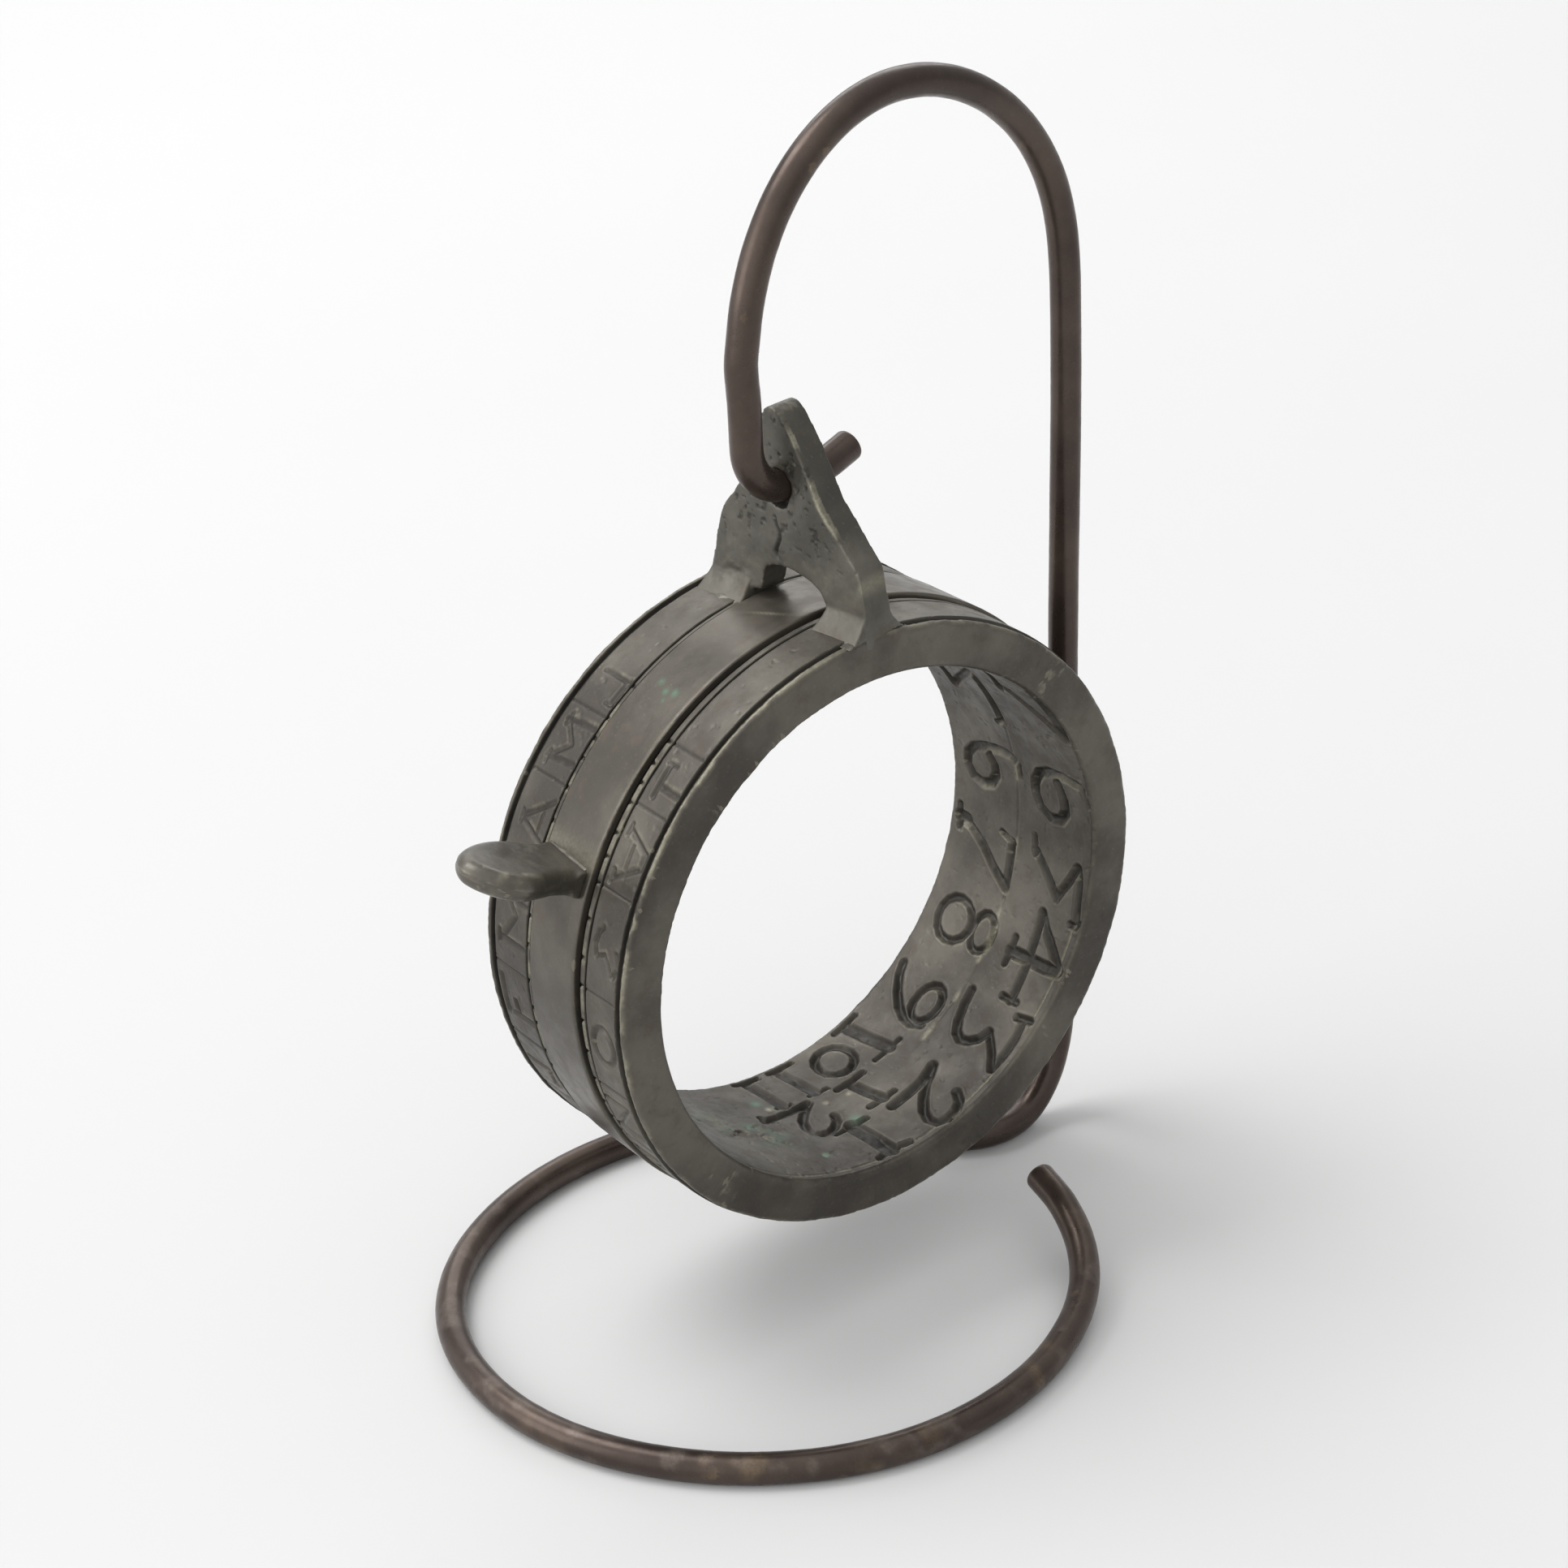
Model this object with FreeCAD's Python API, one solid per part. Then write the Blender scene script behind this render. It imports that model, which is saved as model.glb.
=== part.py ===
import FreeCAD, Part
import math
import os

# Altitude ring dial hanging by its yoke from a one-piece bent-rod stand.
# Millimetres. +Z up, ring axis along Y (front face towards -Y), +X towards the upright.
# Shapes are built about the ring's centre and moved by SHIFT at the end, so that the
# finished object stands on z = 0 with its bounding box centred on X and Y.
# Ring angles are in degrees from +X towards +Z.

Vec = FreeCAD.Vector
os.makedirs("parts", exist_ok=True)

# ---------------------------------------------------------------- driving dimensions
RUNNING_GAP = 0.05        # radial clearance of the band on its floor and the eye on the rod

BORE_R = 23.22            # ring bore radius
BORE_MOUTH_R = 23.65      # softened mouth of the bore
Y_FRONT = -10.2           # front face of the ring
Y_BACK = 9.12             # back face of the ring
FLOOR_R = 26.95           # floor of the channel the band turns in
CHANNEL_Y = (-4.30, 2.75) # channel walls
FRONT_R = 27.42           # front flange (July to December)
BACK_R = 27.62            # back flange (January to June)
FRONT_LIP_R = 27.20
BACK_LIP_R = 27.72
GROOVE = 0.42             # depth of the turned border grooves

SLOT_ANGLES = (112.0, 219.0)  # light slot through the channel floor (ends of its centre line)
SLOT_Y = (-3.40, 1.90)
SLOT_CUT_R = (22.0, 28.0)     # radii the slot's cutters span

FIGURE_DEPTH = 0.50       # hour figures cut into the bore
FIGURE_INSIDE = 1.2       # how far their cutters start inside the bore
LETTER_DEPTH = 0.28       # month letters cut into the flanges
LETTER_OUTSIDE = 0.6      # how far their cutters stand out of the flanges
MARK_OUTSIDE = 0.5        # the same for the month lines and ticks

HOUR_LINE_Y = (-0.09, 0.05)   # turned line between the two rows of hours
HOUR_LINE_ANGLES = (-46.0, 24.0)
HOUR_LINE_DEPTH = 0.09
HOUR_LINE_INSIDE = 0.5

BAND_R = (FLOOR_R + RUNNING_GAP, 27.75)   # sliding band
BAND_Y = (-3.85, 2.65)
BAND_CHAMFER = 0.14
PINHOLE_R = 0.65
PINHOLE_ANGLE = 158.1
PINHOLE_Y = (-3.05, 1.85) # one pinhole for each half of the year

ROD_R = 1.36              # stand rod radius
FLOOR_Z = -37.36          # underside of the rod loop
GROUND_FLAT = 0.10        # depth of the flat worn on the loop's underside
LOOP_Z = FLOOR_Z + ROD_R  # centre line of the level part of the loop

HOOK_ANGLE = 7.5          # direction of the hook, degrees from +X towards +Y
HOOK_START = -6.10        # where the rod comes down, measured along the hook
HOOK_START_Z = 45.93
HOOK_BEND_R = 4.20
HOOK_STRAIGHT_END = 0.30

EYE_R = ROD_R + RUNNING_GAP   # yoke eye
EYE_ACROSS = -0.496       # eye centre measured across the yoke
EYE_Z = 38.05             # eye centre above the ring's centre
EYE_LOW_R = EYE_R - 0.35  # the eye narrows to this radius...
EYE_LOW_DROP = 2.4        # ...this far below its centre
EYE_CUT_SPARE = 1.0       # cutters pass each face of the yoke by this much
FLARE_EXTRA_R = 0.60      # flared mouth of the eye on the yoke's -X face
FLARE_LENGTH = 1.15
FLARE_SPARE = 0.15
YOKE_FACES = (-2.75, 0.05)    # the yoke's two flat faces, measured along the hook
YOKE_THICK = YOKE_FACES[1] - YOKE_FACES[0]

TAB_ANGLE = 156.8         # the tab's middle plane on the band
TAB_TWIST = 5.0           # back edge of the tab raised, degrees
TAB_THICK = 1.8
TAB_Y0 = -3.40            # front end of the tab's root
TAB_MID = 2.95            # middle of the root, behind its front end; the tab twists here

SHIFT = Vec(2.1956, 2.5235, -(FLOOR_Z + GROUND_FLAT))

hook_turn = math.radians(HOOK_ANGLE)
ALONG = Vec(math.cos(hook_turn), math.sin(hook_turn), 0)     # along the hook
ACROSS = Vec(-math.sin(hook_turn), math.cos(hook_turn), 0)   # across the yoke
UP = Vec(0, 0, 1)
CENTRE = Vec(0, 0, 0)
RING_AXIS = Vec(0, 1, 0)

# ---------------------------------------------------------------- engraving tables
# Each glyph is a list of strokes: (stroke width, [(ring angle, y), ...]).
BORE_FIGURES = {
    "one_front": [
        (1.56, [(-88.2, -8.60), (-88.5, -6.10), (-89.0, -3.60)]),
        (0.60, [(-83.4, -8.94), (-87.7, -8.50)]),
        (0.60, [(-88.2, -8.50), (-92.2, -9.06)]),
        (0.60, [(-84.8, -3.40), (-93.9, -3.60)])],
    "twelve_2": [
        (0.80, [(-89.3, -1.10), (-90.3, -2.00), (-92.2, -2.70), (-94.3, -3.06), (-96.4, -2.94),
                (-97.6, -2.30), (-97.7, -1.40), (-96.5, -0.20), (-94.0, 0.90), (-91.1, 1.86)]),
        (0.84, [(-90.8, 2.00), (-96.0, 1.74), (-100.9, 1.54), (-104.1, 1.34)]),
        (0.60, [(-102.2, 0.86), (-104.1, 2.00)])],
    "eleven_a": [
        (1.10, [(-86.9, 3.00), (-87.4, 5.50), (-88.1, 7.80)]),
        (0.36, [(-83.9, 2.70), (-88.8, 2.86)]),
        (0.56, [(-83.7, 8.30), (-90.2, 8.30)])],
    "eleven_b": [
        (1.16, [(-96.0, 3.00), (-96.2, 5.30), (-96.9, 7.80)]),
        (0.32, [(-94.0, 2.80), (-97.9, 2.86)]),
        (0.56, [(-93.3, 8.26), (-99.7, 8.34)])],
    "twelve_1": [
        (1.12, [(-77.8, -2.30), (-78.8, -0.50), (-79.5, 1.50)]),
        (0.56, [(-74.7, -2.42), (-81.8, -2.42)]),
        (0.64, [(-75.2, 1.90), (-82.9, 1.80)])],
    "ten_0": [
        (0.76, [(-81.2, 5.30), (-80.8, 6.21), (-79.6, 6.94), (-77.8, 7.35), (-75.9, 7.35),
                (-74.1, 6.94), (-72.9, 6.21), (-72.5, 5.30), (-72.9, 4.39), (-74.1, 3.66),
                (-75.9, 3.25), (-77.8, 3.25), (-79.6, 3.66), (-80.8, 4.39), (-81.2, 5.30)])],
    "ten_1": [
        (1.20, [(-66.3, 2.20), (-67.2, 4.70), (-68.0, 7.90)]),
        (0.48, [(-63.4, 2.06), (-70.8, 2.14)]),
        (0.64, [(-64.4, 8.26), (-70.9, 8.20)])],
    "nine": [
        (0.76, [(-57.9, 2.40), (-57.4, 3.06), (-56.0, 3.59), (-54.1, 3.88), (-51.9, 3.88),
                (-50.0, 3.59), (-48.7, 3.06), (-48.2, 2.40), (-48.7, 1.74), (-50.0, 1.21),
                (-51.9, 0.92), (-54.1, 0.92), (-56.0, 1.21), (-57.4, 1.74), (-57.9, 2.40)]),
        (0.84, [(-57.9, 1.30), (-58.9, 2.30), (-58.6, 3.50), (-56.9, 4.90), (-53.9, 6.30),
                (-50.5, 7.34), (-47.7, 7.78)])],
    "two_front": [
        (0.84, [(-66.6, -7.50), (-68.0, -8.50), (-70.4, -9.14), (-73.2, -9.26), (-75.5, -8.80),
                (-76.0, -7.90), (-74.9, -6.70), (-72.2, -5.40), (-69.0, -4.30), (-65.3, -3.46)]),
        (0.96, [(-64.4, -3.14), (-68.7, -3.66), (-73.6, -3.80), (-78.3, -3.90)])],
    "three_front": [
        (0.72, [(-44.4, -9.06), (-45.1, -7.50)]),
        (0.72, [(-44.8, -8.34), (-49.0, -8.66), (-53.9, -8.74), (-58.1, -8.66)]),
        (0.72, [(-58.1, -8.66), (-54.9, -7.50), (-52.7, -6.50), (-51.2, -5.70)]),
        (0.84, [(-51.2, -5.70), (-53.7, -5.26), (-55.4, -4.40), (-56.0, -3.50), (-54.9, -2.60),
                (-52.2, -1.86), (-48.5, -1.34), (-45.0, -1.18)])],
    "four_front": [
        (0.92, [(-31.9, -9.34), (-28.2, -7.70), (-24.7, -6.10), (-22.0, -5.20)]),
        (0.84, [(-21.7, -5.20), (-26.7, -5.26), (-31.6, -5.40), (-37.0, -5.64), (-42.6, -5.80)]),
        (0.68, [(-42.4, -6.50), (-42.6, -4.70)]),
        (1.12, [(-31.9, -9.10), (-32.5, -7.50), (-32.8, -4.90), (-33.0, -3.10)]),
        (0.64, [(-29.7, -3.06), (-36.1, -3.06)])],
    "eight_up": [
        (0.68, [(-37.1, 0.94), (-36.7, 1.53), (-35.4, 2.00), (-33.6, 2.27), (-31.6, 2.27),
                (-29.8, 2.00), (-28.5, 1.53), (-28.1, 0.94), (-28.5, 0.35), (-29.8, -0.12),
                (-31.6, -0.39), (-33.6, -0.39), (-35.4, -0.12), (-36.7, 0.35), (-37.1, 0.94)])],
    "eight_low": [
        (0.76, [(-38.2, 4.80), (-37.7, 5.74), (-36.3, 6.49), (-34.2, 6.91), (-31.9, 6.91),
                (-29.9, 6.49), (-28.5, 5.74), (-28.0, 4.80), (-28.5, 3.86), (-29.9, 3.11),
                (-31.9, 2.69), (-34.2, 2.69), (-36.3, 3.11), (-37.7, 3.86), (-38.2, 4.80)])],
    "five_front": [
        (0.60, [(-20.0, -9.74), (-21.1, -8.74)]),
        (0.84, [(-20.8, -9.34), (-15.8, -8.90), (-10.9, -8.66), (-8.2, -8.34)]),
        (0.76, [(-8.2, -8.26), (-11.9, -7.50), (-14.8, -6.80), (-17.2, -6.30)]),
        (0.84, [(-17.2, -6.30), (-13.8, -4.90), (-10.9, -3.70), (-8.9, -2.74)]),
        (0.56, [(-5.7, -2.50), (-10.0, -2.74)])],
    "six_front": [
        (0.56, [(8.5, -9.60), (12.3, -9.02)]),
        (0.92, [(12.7, -9.06), (13.4, -6.90), (13.0, -4.90), (11.3, -3.50), (8.4, -2.70),
                (5.4, -2.60), (2.2, -3.20), (0.5, -4.50), (1.2, -5.80), (3.7, -6.50),
                (6.9, -6.40), (10.6, -5.86)])],
    "six_back": [
        (0.56, [(7.4, -0.66), (10.6, -0.50)]),
        (0.92, [(10.8, -0.50), (12.1, 0.70), (11.9, 2.30), (10.9, 4.10), (9.3, 5.70),
                (6.9, 6.70), (3.9, 6.90), (1.3, 6.10), (0.5, 4.90), (1.7, 3.60), (4.4, 2.86),
                (6.9, 2.94), (8.9, 3.54)])],
    "seven_back": [
        (0.56, [(-8.9, 1.86), (-10.3, 0.20)]),
        (0.80, [(-10.1, 0.40), (-15.3, 0.30), (-21.0, 0.10)]),
        (0.88, [(-20.8, 0.20), (-17.8, 2.30), (-14.3, 4.10), (-10.9, 6.50)]),
        (0.60, [(-7.5, 7.86), (-13.0, 7.62)]),
        (1.24, [(-10.5, 6.70), (-10.3, 7.74)])],
    "seven_front": [
        (0.92, [(45.7, -9.74), (41.0, -9.62), (36.1, -9.46), (31.2, -9.38), (27.1, -9.30)]),
        (1.04, [(27.2, -9.26), (31.2, -7.80), (35.1, -6.30), (39.8, -4.80)]),
        (0.80, [(46.2, -4.46), (42.0, -4.10), (38.3, -3.50)])],
    "five_back": [
        (0.52, [(22.0, -0.30), (21.3, 0.86)]),
        (0.88, [(21.6, 0.10), (27.2, 0.20), (33.1, 0.30), (39.1, 0.40)]),
        (0.80, [(39.1, 0.50), (35.1, 2.30), (31.7, 3.90), (28.5, 5.30)]),
        (0.88, [(28.7, 5.34), (32.2, 5.54), (35.4, 6.00)])],
}

MONTH_LETTERS = {
    "june": [
        (0.42, [(123.6, 7.05), (123.7, 3.68)]),
        (0.58, [(123.7, 3.74), (128.6, 3.79)]),
        (0.32, [(128.7, 4.47), (128.6, 3.53)])],
    "may": [
        (0.58, [(134.1, 7.11), (133.6, 3.53)]),
        (0.58, [(141.3, 7.11), (140.7, 3.53)]),
        (0.47, [(134.4, 6.89), (137.8, 5.00), (141.2, 6.89)]),
        (0.37, [(132.9, 7.00), (135.1, 7.05)]),
        (0.37, [(140.3, 7.05), (142.5, 7.00)])],
    "april": [
        (0.47, [(147.6, 3.53), (152.7, 7.00)]),
        (0.47, [(152.7, 7.00), (155.5, 3.42)]),
        (0.32, [(150.3, 4.47), (154.8, 4.47)]),
        (0.37, [(151.5, 7.05), (153.7, 7.00)])],
    "july": [
        (0.53, [(132.1, -6.37), (138.2, -6.47)]),
        (0.63, [(136.2, -6.84), (136.4, -9.42)]),
        (0.32, [(132.1, -6.05), (132.0, -7.11)])],
    "august": [
        (0.53, [(144.7, -5.95), (147.3, -8.84)]),
        (0.58, [(147.3, -8.84), (149.8, -8.84)]),
        (0.53, [(149.8, -8.84), (153.5, -6.00)]),
        (0.32, [(146.9, -7.11), (151.9, -7.18)]),
        (0.37, [(143.8, -5.95), (145.8, -5.84)]),
        (0.37, [(152.1, -6.00), (154.4, -5.89)])],
    "september": [
        (0.53, [(161.9, -6.63), (163.0, -6.16), (165.1, -5.95), (167.2, -6.26)]),
        (0.32, [(167.2, -6.26), (166.2, -7.37), (168.1, -8.16), (169.5, -8.58)]),
        (0.53, [(169.4, -8.58), (167.6, -9.37), (165.1, -8.84)])],
    "october": [
        (0.58, [(187.4, -7.37), (187.0, -7.98), (186.0, -8.48), (184.6, -8.75), (183.0, -8.75),
                (181.5, -8.48), (180.5, -7.98), (180.1, -7.37), (180.5, -6.75), (181.5, -6.26),
                (183.0, -5.98), (184.6, -5.98), (186.0, -6.26), (187.0, -6.75),
                (187.4, -7.37)])],
    "november": [
        (0.58, [(196.7, -5.53), (196.6, -8.74)]),
        (0.47, [(196.7, -8.58), (203.5, -5.58)]),
        (0.63, [(203.6, -5.37), (203.5, -8.74)])],
    "december": [
        (0.63, [(210.1, -5.21), (210.0, -8.42)]),
        (0.58, [(210.1, -5.26), (213.4, -5.79), (214.5, -6.84), (213.4, -8.00),
                (210.1, -8.42)])],
    "march": [
        (0.58, [(166.8, 7.37), (167.1, 3.53)]),
        (0.53, [(167.1, 6.32), (169.7, 4.95), (174.7, 6.74)]),
        (0.63, [(175.1, 7.26), (175.0, 3.53)]),
        (0.42, [(173.9, 7.32), (176.2, 7.32)])],
    "february": [
        (0.63, [(182.9, 7.37), (190.5, 7.37)]),
        (0.53, [(190.1, 7.37), (189.9, 3.58)]),
        (0.58, [(187.1, 5.79), (189.8, 5.68)])],
    "january": [
        (0.63, [(202.0, 7.47), (201.6, 4.26)]),
        (0.58, [(201.6, 4.32), (206.5, 4.74)]),
        (0.37, [(206.5, 5.16), (206.4, 4.37)])],
}

# Ring angles of the lines between months, and of the ten-day ticks beside the channel.
FRONT_DIVIDERS = [128.8, 140.6, 155.6, 174.4, 193.4, 206.8, 218.0]
BACK_DIVIDERS = [130.8, 144.3, 162.5, 180.2, 195.3, 210.0]
FRONT_TICKS = [128.9, 133.4, 137.2, 141.0, 146.6, 150.9, 155.6, 162.1, 169.2, 174.4,
               181.3, 187.6, 193.6, 199.1, 203.0, 206.8, 211.0, 214.6, 218.0]
BACK_TICKS = [123.8, 130.8, 134.8, 138.7, 144.3, 150.4, 156.4, 162.5, 167.8, 173.2, 180.2,
              185.7, 189.0, 195.3, 198.8, 204.0, 210.0]
# (angles, first y, last y, width, depth, flange radius)
FLANGE_MARKS = [
    (FRONT_DIVIDERS, -9.15, -5.25, 0.22, 0.18, FRONT_R),
    (BACK_DIVIDERS, 3.40, 8.00, 0.24, 0.20, BACK_R),
    (FRONT_TICKS, -4.96, -4.20, 0.26, 0.24, FRONT_R),
    (BACK_TICKS, 2.65, 3.10, 0.24, 0.22, BACK_R),
]


# ---------------------------------------------------------------- helpers
def hook_point(along, across, z):
    """Point at given distances along the hook and across the yoke, at height z."""
    return ALONG * along + ACROSS * across + UP * z


def ring_directions(angle):
    """Radial and tangential unit vectors at an angle on the ring."""
    turn = math.radians(angle)
    return Vec(math.cos(turn), 0, math.sin(turn)), Vec(-math.sin(turn), 0, math.cos(turn))


def loop_wire(points):
    return Part.makePolygon(points + [points[0]])


def turned(outline, sweep=360.0):
    """Closed (y, radius) outline turned about the Y axis."""
    face = Part.Face(loop_wire([Vec(radius, y, 0) for y, radius in outline]))
    return face.revolve(CENTRE, RING_AXIS, sweep)


def collar(ys, radii, sweep=360.0):
    """Turned block of rectangular section."""
    return turned([(ys[0], radii[0]), (ys[0], radii[1]), (ys[1], radii[1]), (ys[1], radii[0])],
                  sweep)


def collar_arc(ys, radii, angles):
    """Part of a collar between two ring angles."""
    block = collar(ys, radii, angles[1] - angles[0])
    block.rotate(CENTRE, RING_AXIS, -angles[1])
    return block


def radial_cylinder(radius, angle, y, start_r, length):
    """Cylinder pointing outwards from start_r."""
    radial, _ = ring_directions(angle)
    return Part.makeCylinder(radius, length, radial * start_r + Vec(0, y, 0), radial)


def one_solid(shape):
    """The largest solid in a shape."""
    return max(shape.Solids, key=lambda solid: solid.Volume)


def soften(solid, edges, radii):
    """Fillet the edges with the first radius that gives one valid solid."""
    for radius in radii:
        # Guards against a radius too large for the curved outline.
        try:
            trial = solid.makeFillet(radius, edges)
            if trial.isValid() and len(trial.Solids) == 1:
                return one_solid(trial)
        except Exception:
            pass
    return solid


# ---------------------------------------------------------------- ring
def ring_outline(groove):
    """(y, radius) section of the ring, with border grooves of the given depth."""
    return [
        # front face and lip
        (Y_FRONT, BORE_MOUTH_R), (Y_FRONT, 26.75), (Y_FRONT + 0.12, FRONT_LIP_R - 0.12),
        (Y_FRONT + 0.30, FRONT_LIP_R),
        # front flange between its two grooves
        (-9.62, FRONT_LIP_R), (-9.54, FRONT_LIP_R - groove + 0.06),
        (-9.38, FRONT_LIP_R - groove + 0.06), (-9.28, FRONT_R - 0.08), (-9.10, FRONT_R),
        (-5.24, FRONT_R), (-5.16, FRONT_R - groove), (-5.00, FRONT_R - groove),
        (-4.92, FRONT_R),
        # channel
        (CHANNEL_Y[0] - 0.10, FRONT_R), (CHANNEL_Y[0], FRONT_R - 0.10),
        (CHANNEL_Y[0], FLOOR_R), (CHANNEL_Y[1], FLOOR_R),
        (CHANNEL_Y[1], BACK_R - 0.10), (CHANNEL_Y[1] + 0.08, BACK_R),
        # back flange between its two grooves
        (3.06, BACK_R), (3.13, BACK_R - groove), (3.29, BACK_R - groove), (3.37, BACK_R),
        (8.02, BACK_R), (8.14, BACK_R - groove - 0.08), (8.50, BACK_R - groove - 0.08),
        # back lip, back face and bore
        (8.64, BACK_LIP_R), (Y_BACK - 0.16, BACK_LIP_R), (Y_BACK, BACK_LIP_R - 0.20),
        (Y_BACK, BORE_MOUTH_R - 0.15), (Y_BACK - 0.30, BORE_R), (Y_FRONT + 0.30, BORE_R),
    ]


def stroke_blocks(points, width, inner_r, outer_r):
    """Straight-sided blocks along one stroke, between two radii."""
    blocks = []
    # Blocks of a bent stroke run past their ends, to overlap at the bends.
    overlap = 0.30 * width if len(points) > 2 else 0.0
    half_width = width / 2
    for (angle0, y0), (angle1, y1) in zip(points[:-1], points[1:]):
        radial, tangent = ring_directions(0.5 * (angle0 + angle1))
        around = math.radians(angle1 - angle0) * 0.5 * (inner_r + outer_r)
        rise = y1 - y0
        length = math.hypot(around, rise)
        forward = tangent * (around / length) + Vec(0, rise / length, 0)
        aside = tangent * (-rise / length) + Vec(0, around / length, 0)
        middle = radial * inner_r + Vec(0, 0.5 * (y0 + y1), 0)
        half = length / 2 + overlap
        corners = [middle + forward * x + aside * y for x, y in (
            (-half, -half_width), (half, -half_width), (half, half_width), (-half, half_width))]
        blocks.append(Part.Face(loop_wire(corners)).extrude(radial * (outer_r - inner_r)))
    return blocks


def letter_radii(y):
    flange_r = FRONT_R if y < 0 else BACK_R
    return flange_r - LETTER_DEPTH, flange_r + LETTER_OUTSIDE


def figure_radii(y):
    return BORE_R - FIGURE_INSIDE, BORE_R + FIGURE_DEPTH


def cut_glyphs(body, glyphs, radii_at):
    for strokes in glyphs.values():
        blocks = []
        for width, points in strokes:
            blocks += stroke_blocks(points, width, *radii_at(points[0][1]))
        trial = body.cut(blocks[0].multiFuse(blocks[1:]))
        # A glyph whose cut fails, or takes away far too much, is left out.
        if trial.Solids:
            trial = one_solid(trial)
            if trial.isValid() and 0 < body.Volume - trial.Volume < 40:
                body = trial
    return body


def make_dial_ring():
    ring = one_solid(turned(ring_outline(GROOVE)))

    # Light slot with rounded ends.
    half_width = 0.5 * (SLOT_Y[1] - SLOT_Y[0])
    middle_y = 0.5 * (SLOT_Y[0] + SLOT_Y[1])
    ring = ring.cut(collar_arc(SLOT_Y, SLOT_CUT_R, SLOT_ANGLES))
    for angle in SLOT_ANGLES:
        ring = ring.cut(radial_cylinder(half_width, angle, middle_y, SLOT_CUT_R[0],
                                        SLOT_CUT_R[1] - SLOT_CUT_R[0]))
    ring = one_solid(ring)

    marks = []
    for angles, y0, y1, width, depth, flange_r in FLANGE_MARKS:
        for angle in angles:
            marks += stroke_blocks([(angle, y0), (angle, y1)], width,
                                   flange_r - depth, flange_r + MARK_OUTSIDE)
    ring = one_solid(ring.cut(marks))

    ring = cut_glyphs(ring, MONTH_LETTERS, letter_radii)
    ring = cut_glyphs(ring, BORE_FIGURES, figure_radii)

    line_radii = (BORE_R - HOUR_LINE_INSIDE, BORE_R + HOUR_LINE_DEPTH)
    trial = ring.cut(collar_arc(HOUR_LINE_Y, line_radii, HOUR_LINE_ANGLES))
    # The line crosses figures, so it is kept only if the ring stays one valid solid.
    if trial.isValid() and len(trial.Solids) == 1:
        ring = one_solid(trial)
    return ring


# ---------------------------------------------------------------- yoke
# (across, height): front leg up, over the crown, down the back leg
YOKE_OUTSIDE = [
    (-9.70, 26.3), (-9.70, 29.3), (-9.62, 31.0), (-9.25, 32.5), (-8.10, 33.9), (-6.45, 35.75),
    (-5.10, 37.3), (-4.10, 39.2), (-2.80, 41.5), (-1.75, 43.1), (-0.75, 44.3), (0.30, 44.7),
    (1.20, 44.0), (2.00, 42.6), (2.75, 40.8), (3.70, 38.1), (4.90, 36.3), (6.10, 34.9),
    (6.90, 33.1), (7.40, 30.9), (7.62, 28.9), (8.35, 28.1), (8.55, 26.3)]
# (across, height) of the opening over the band, from back to front
YOKE_OPENING = [
    (3.16, 26.2), (3.16, 28.0), (2.15, 28.35), (1.80, 29.3), (1.55, 30.2), (0.85, 30.75),
    (-1.10, 31.0), (-3.30, 30.65), (-4.60, 30.05), (-5.35, 29.1), (-5.42, 27.9), (-5.42, 26.2)]


def spline_edge(points):
    curve = Part.BSplineCurve()
    curve.interpolate(points)
    return curve.toShape()


def make_yoke(ring_blank):
    outside = [hook_point(YOKE_FACES[0], across, z) for across, z in YOKE_OUTSIDE]
    opening = [hook_point(YOKE_FACES[0], across, z) for across, z in YOKE_OPENING]
    edges = [
        Part.makeLine(outside[0], outside[1]), spline_edge(outside[1:-1]),
        Part.makeLine(outside[-2], outside[-1]), Part.makeLine(outside[-1], opening[0]),
        Part.makeLine(opening[0], opening[1]), Part.makeLine(opening[1], opening[2]),
        spline_edge(opening[2:-1]), Part.makeLine(opening[-2], opening[-1]),
        Part.makeLine(opening[-1], outside[0])]
    yoke = one_solid(Part.Face(Part.Wire(edges)).extrude(ALONG * YOKE_THICK))
    long_edges = [edge for edge in yoke.Edges if edge.Length > 12.0 and len(edge.Vertexes) == 2]
    yoke = soften(yoke, long_edges, (0.55, 0.4, 0.25))

    # Eye: round on top, where it hangs on the rod, and drawn out downwards.
    eye = hook_point(YOKE_FACES[0] - EYE_CUT_SPARE, EYE_ACROSS, EYE_Z)
    eye_low = eye - UP * EYE_LOW_DROP
    length = YOKE_THICK + 2 * EYE_CUT_SPARE
    top = Part.makeCylinder(EYE_R, length, eye, ALONG)
    low = Part.makeCylinder(EYE_LOW_R, length, eye_low, ALONG)
    middle = Part.Face(loop_wire([
        eye - ACROSS * EYE_R, eye + ACROSS * EYE_R,
        eye_low + ACROSS * EYE_LOW_R, eye_low - ACROSS * EYE_LOW_R])).extrude(ALONG * length)
    flare = Part.makeCone(EYE_R + FLARE_EXTRA_R, EYE_R, FLARE_LENGTH,
                          hook_point(YOKE_FACES[0] - FLARE_SPARE, EYE_ACROSS, EYE_Z), ALONG)
    yoke = one_solid(yoke.cut([top, low, middle]))
    yoke = one_solid(yoke.cut([flare]))
    return one_solid(yoke.cut(ring_blank))


# ---------------------------------------------------------------- braze at the yoke's feet
BEYOND_FRONT_Y = (-20.0, -9.66)   # nothing is left of the front bead here
BEYOND_BACK_Y = (8.95, 20.0)      # nor of the back bead here
BEYOND_R = (0.5, 40.0)


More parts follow.
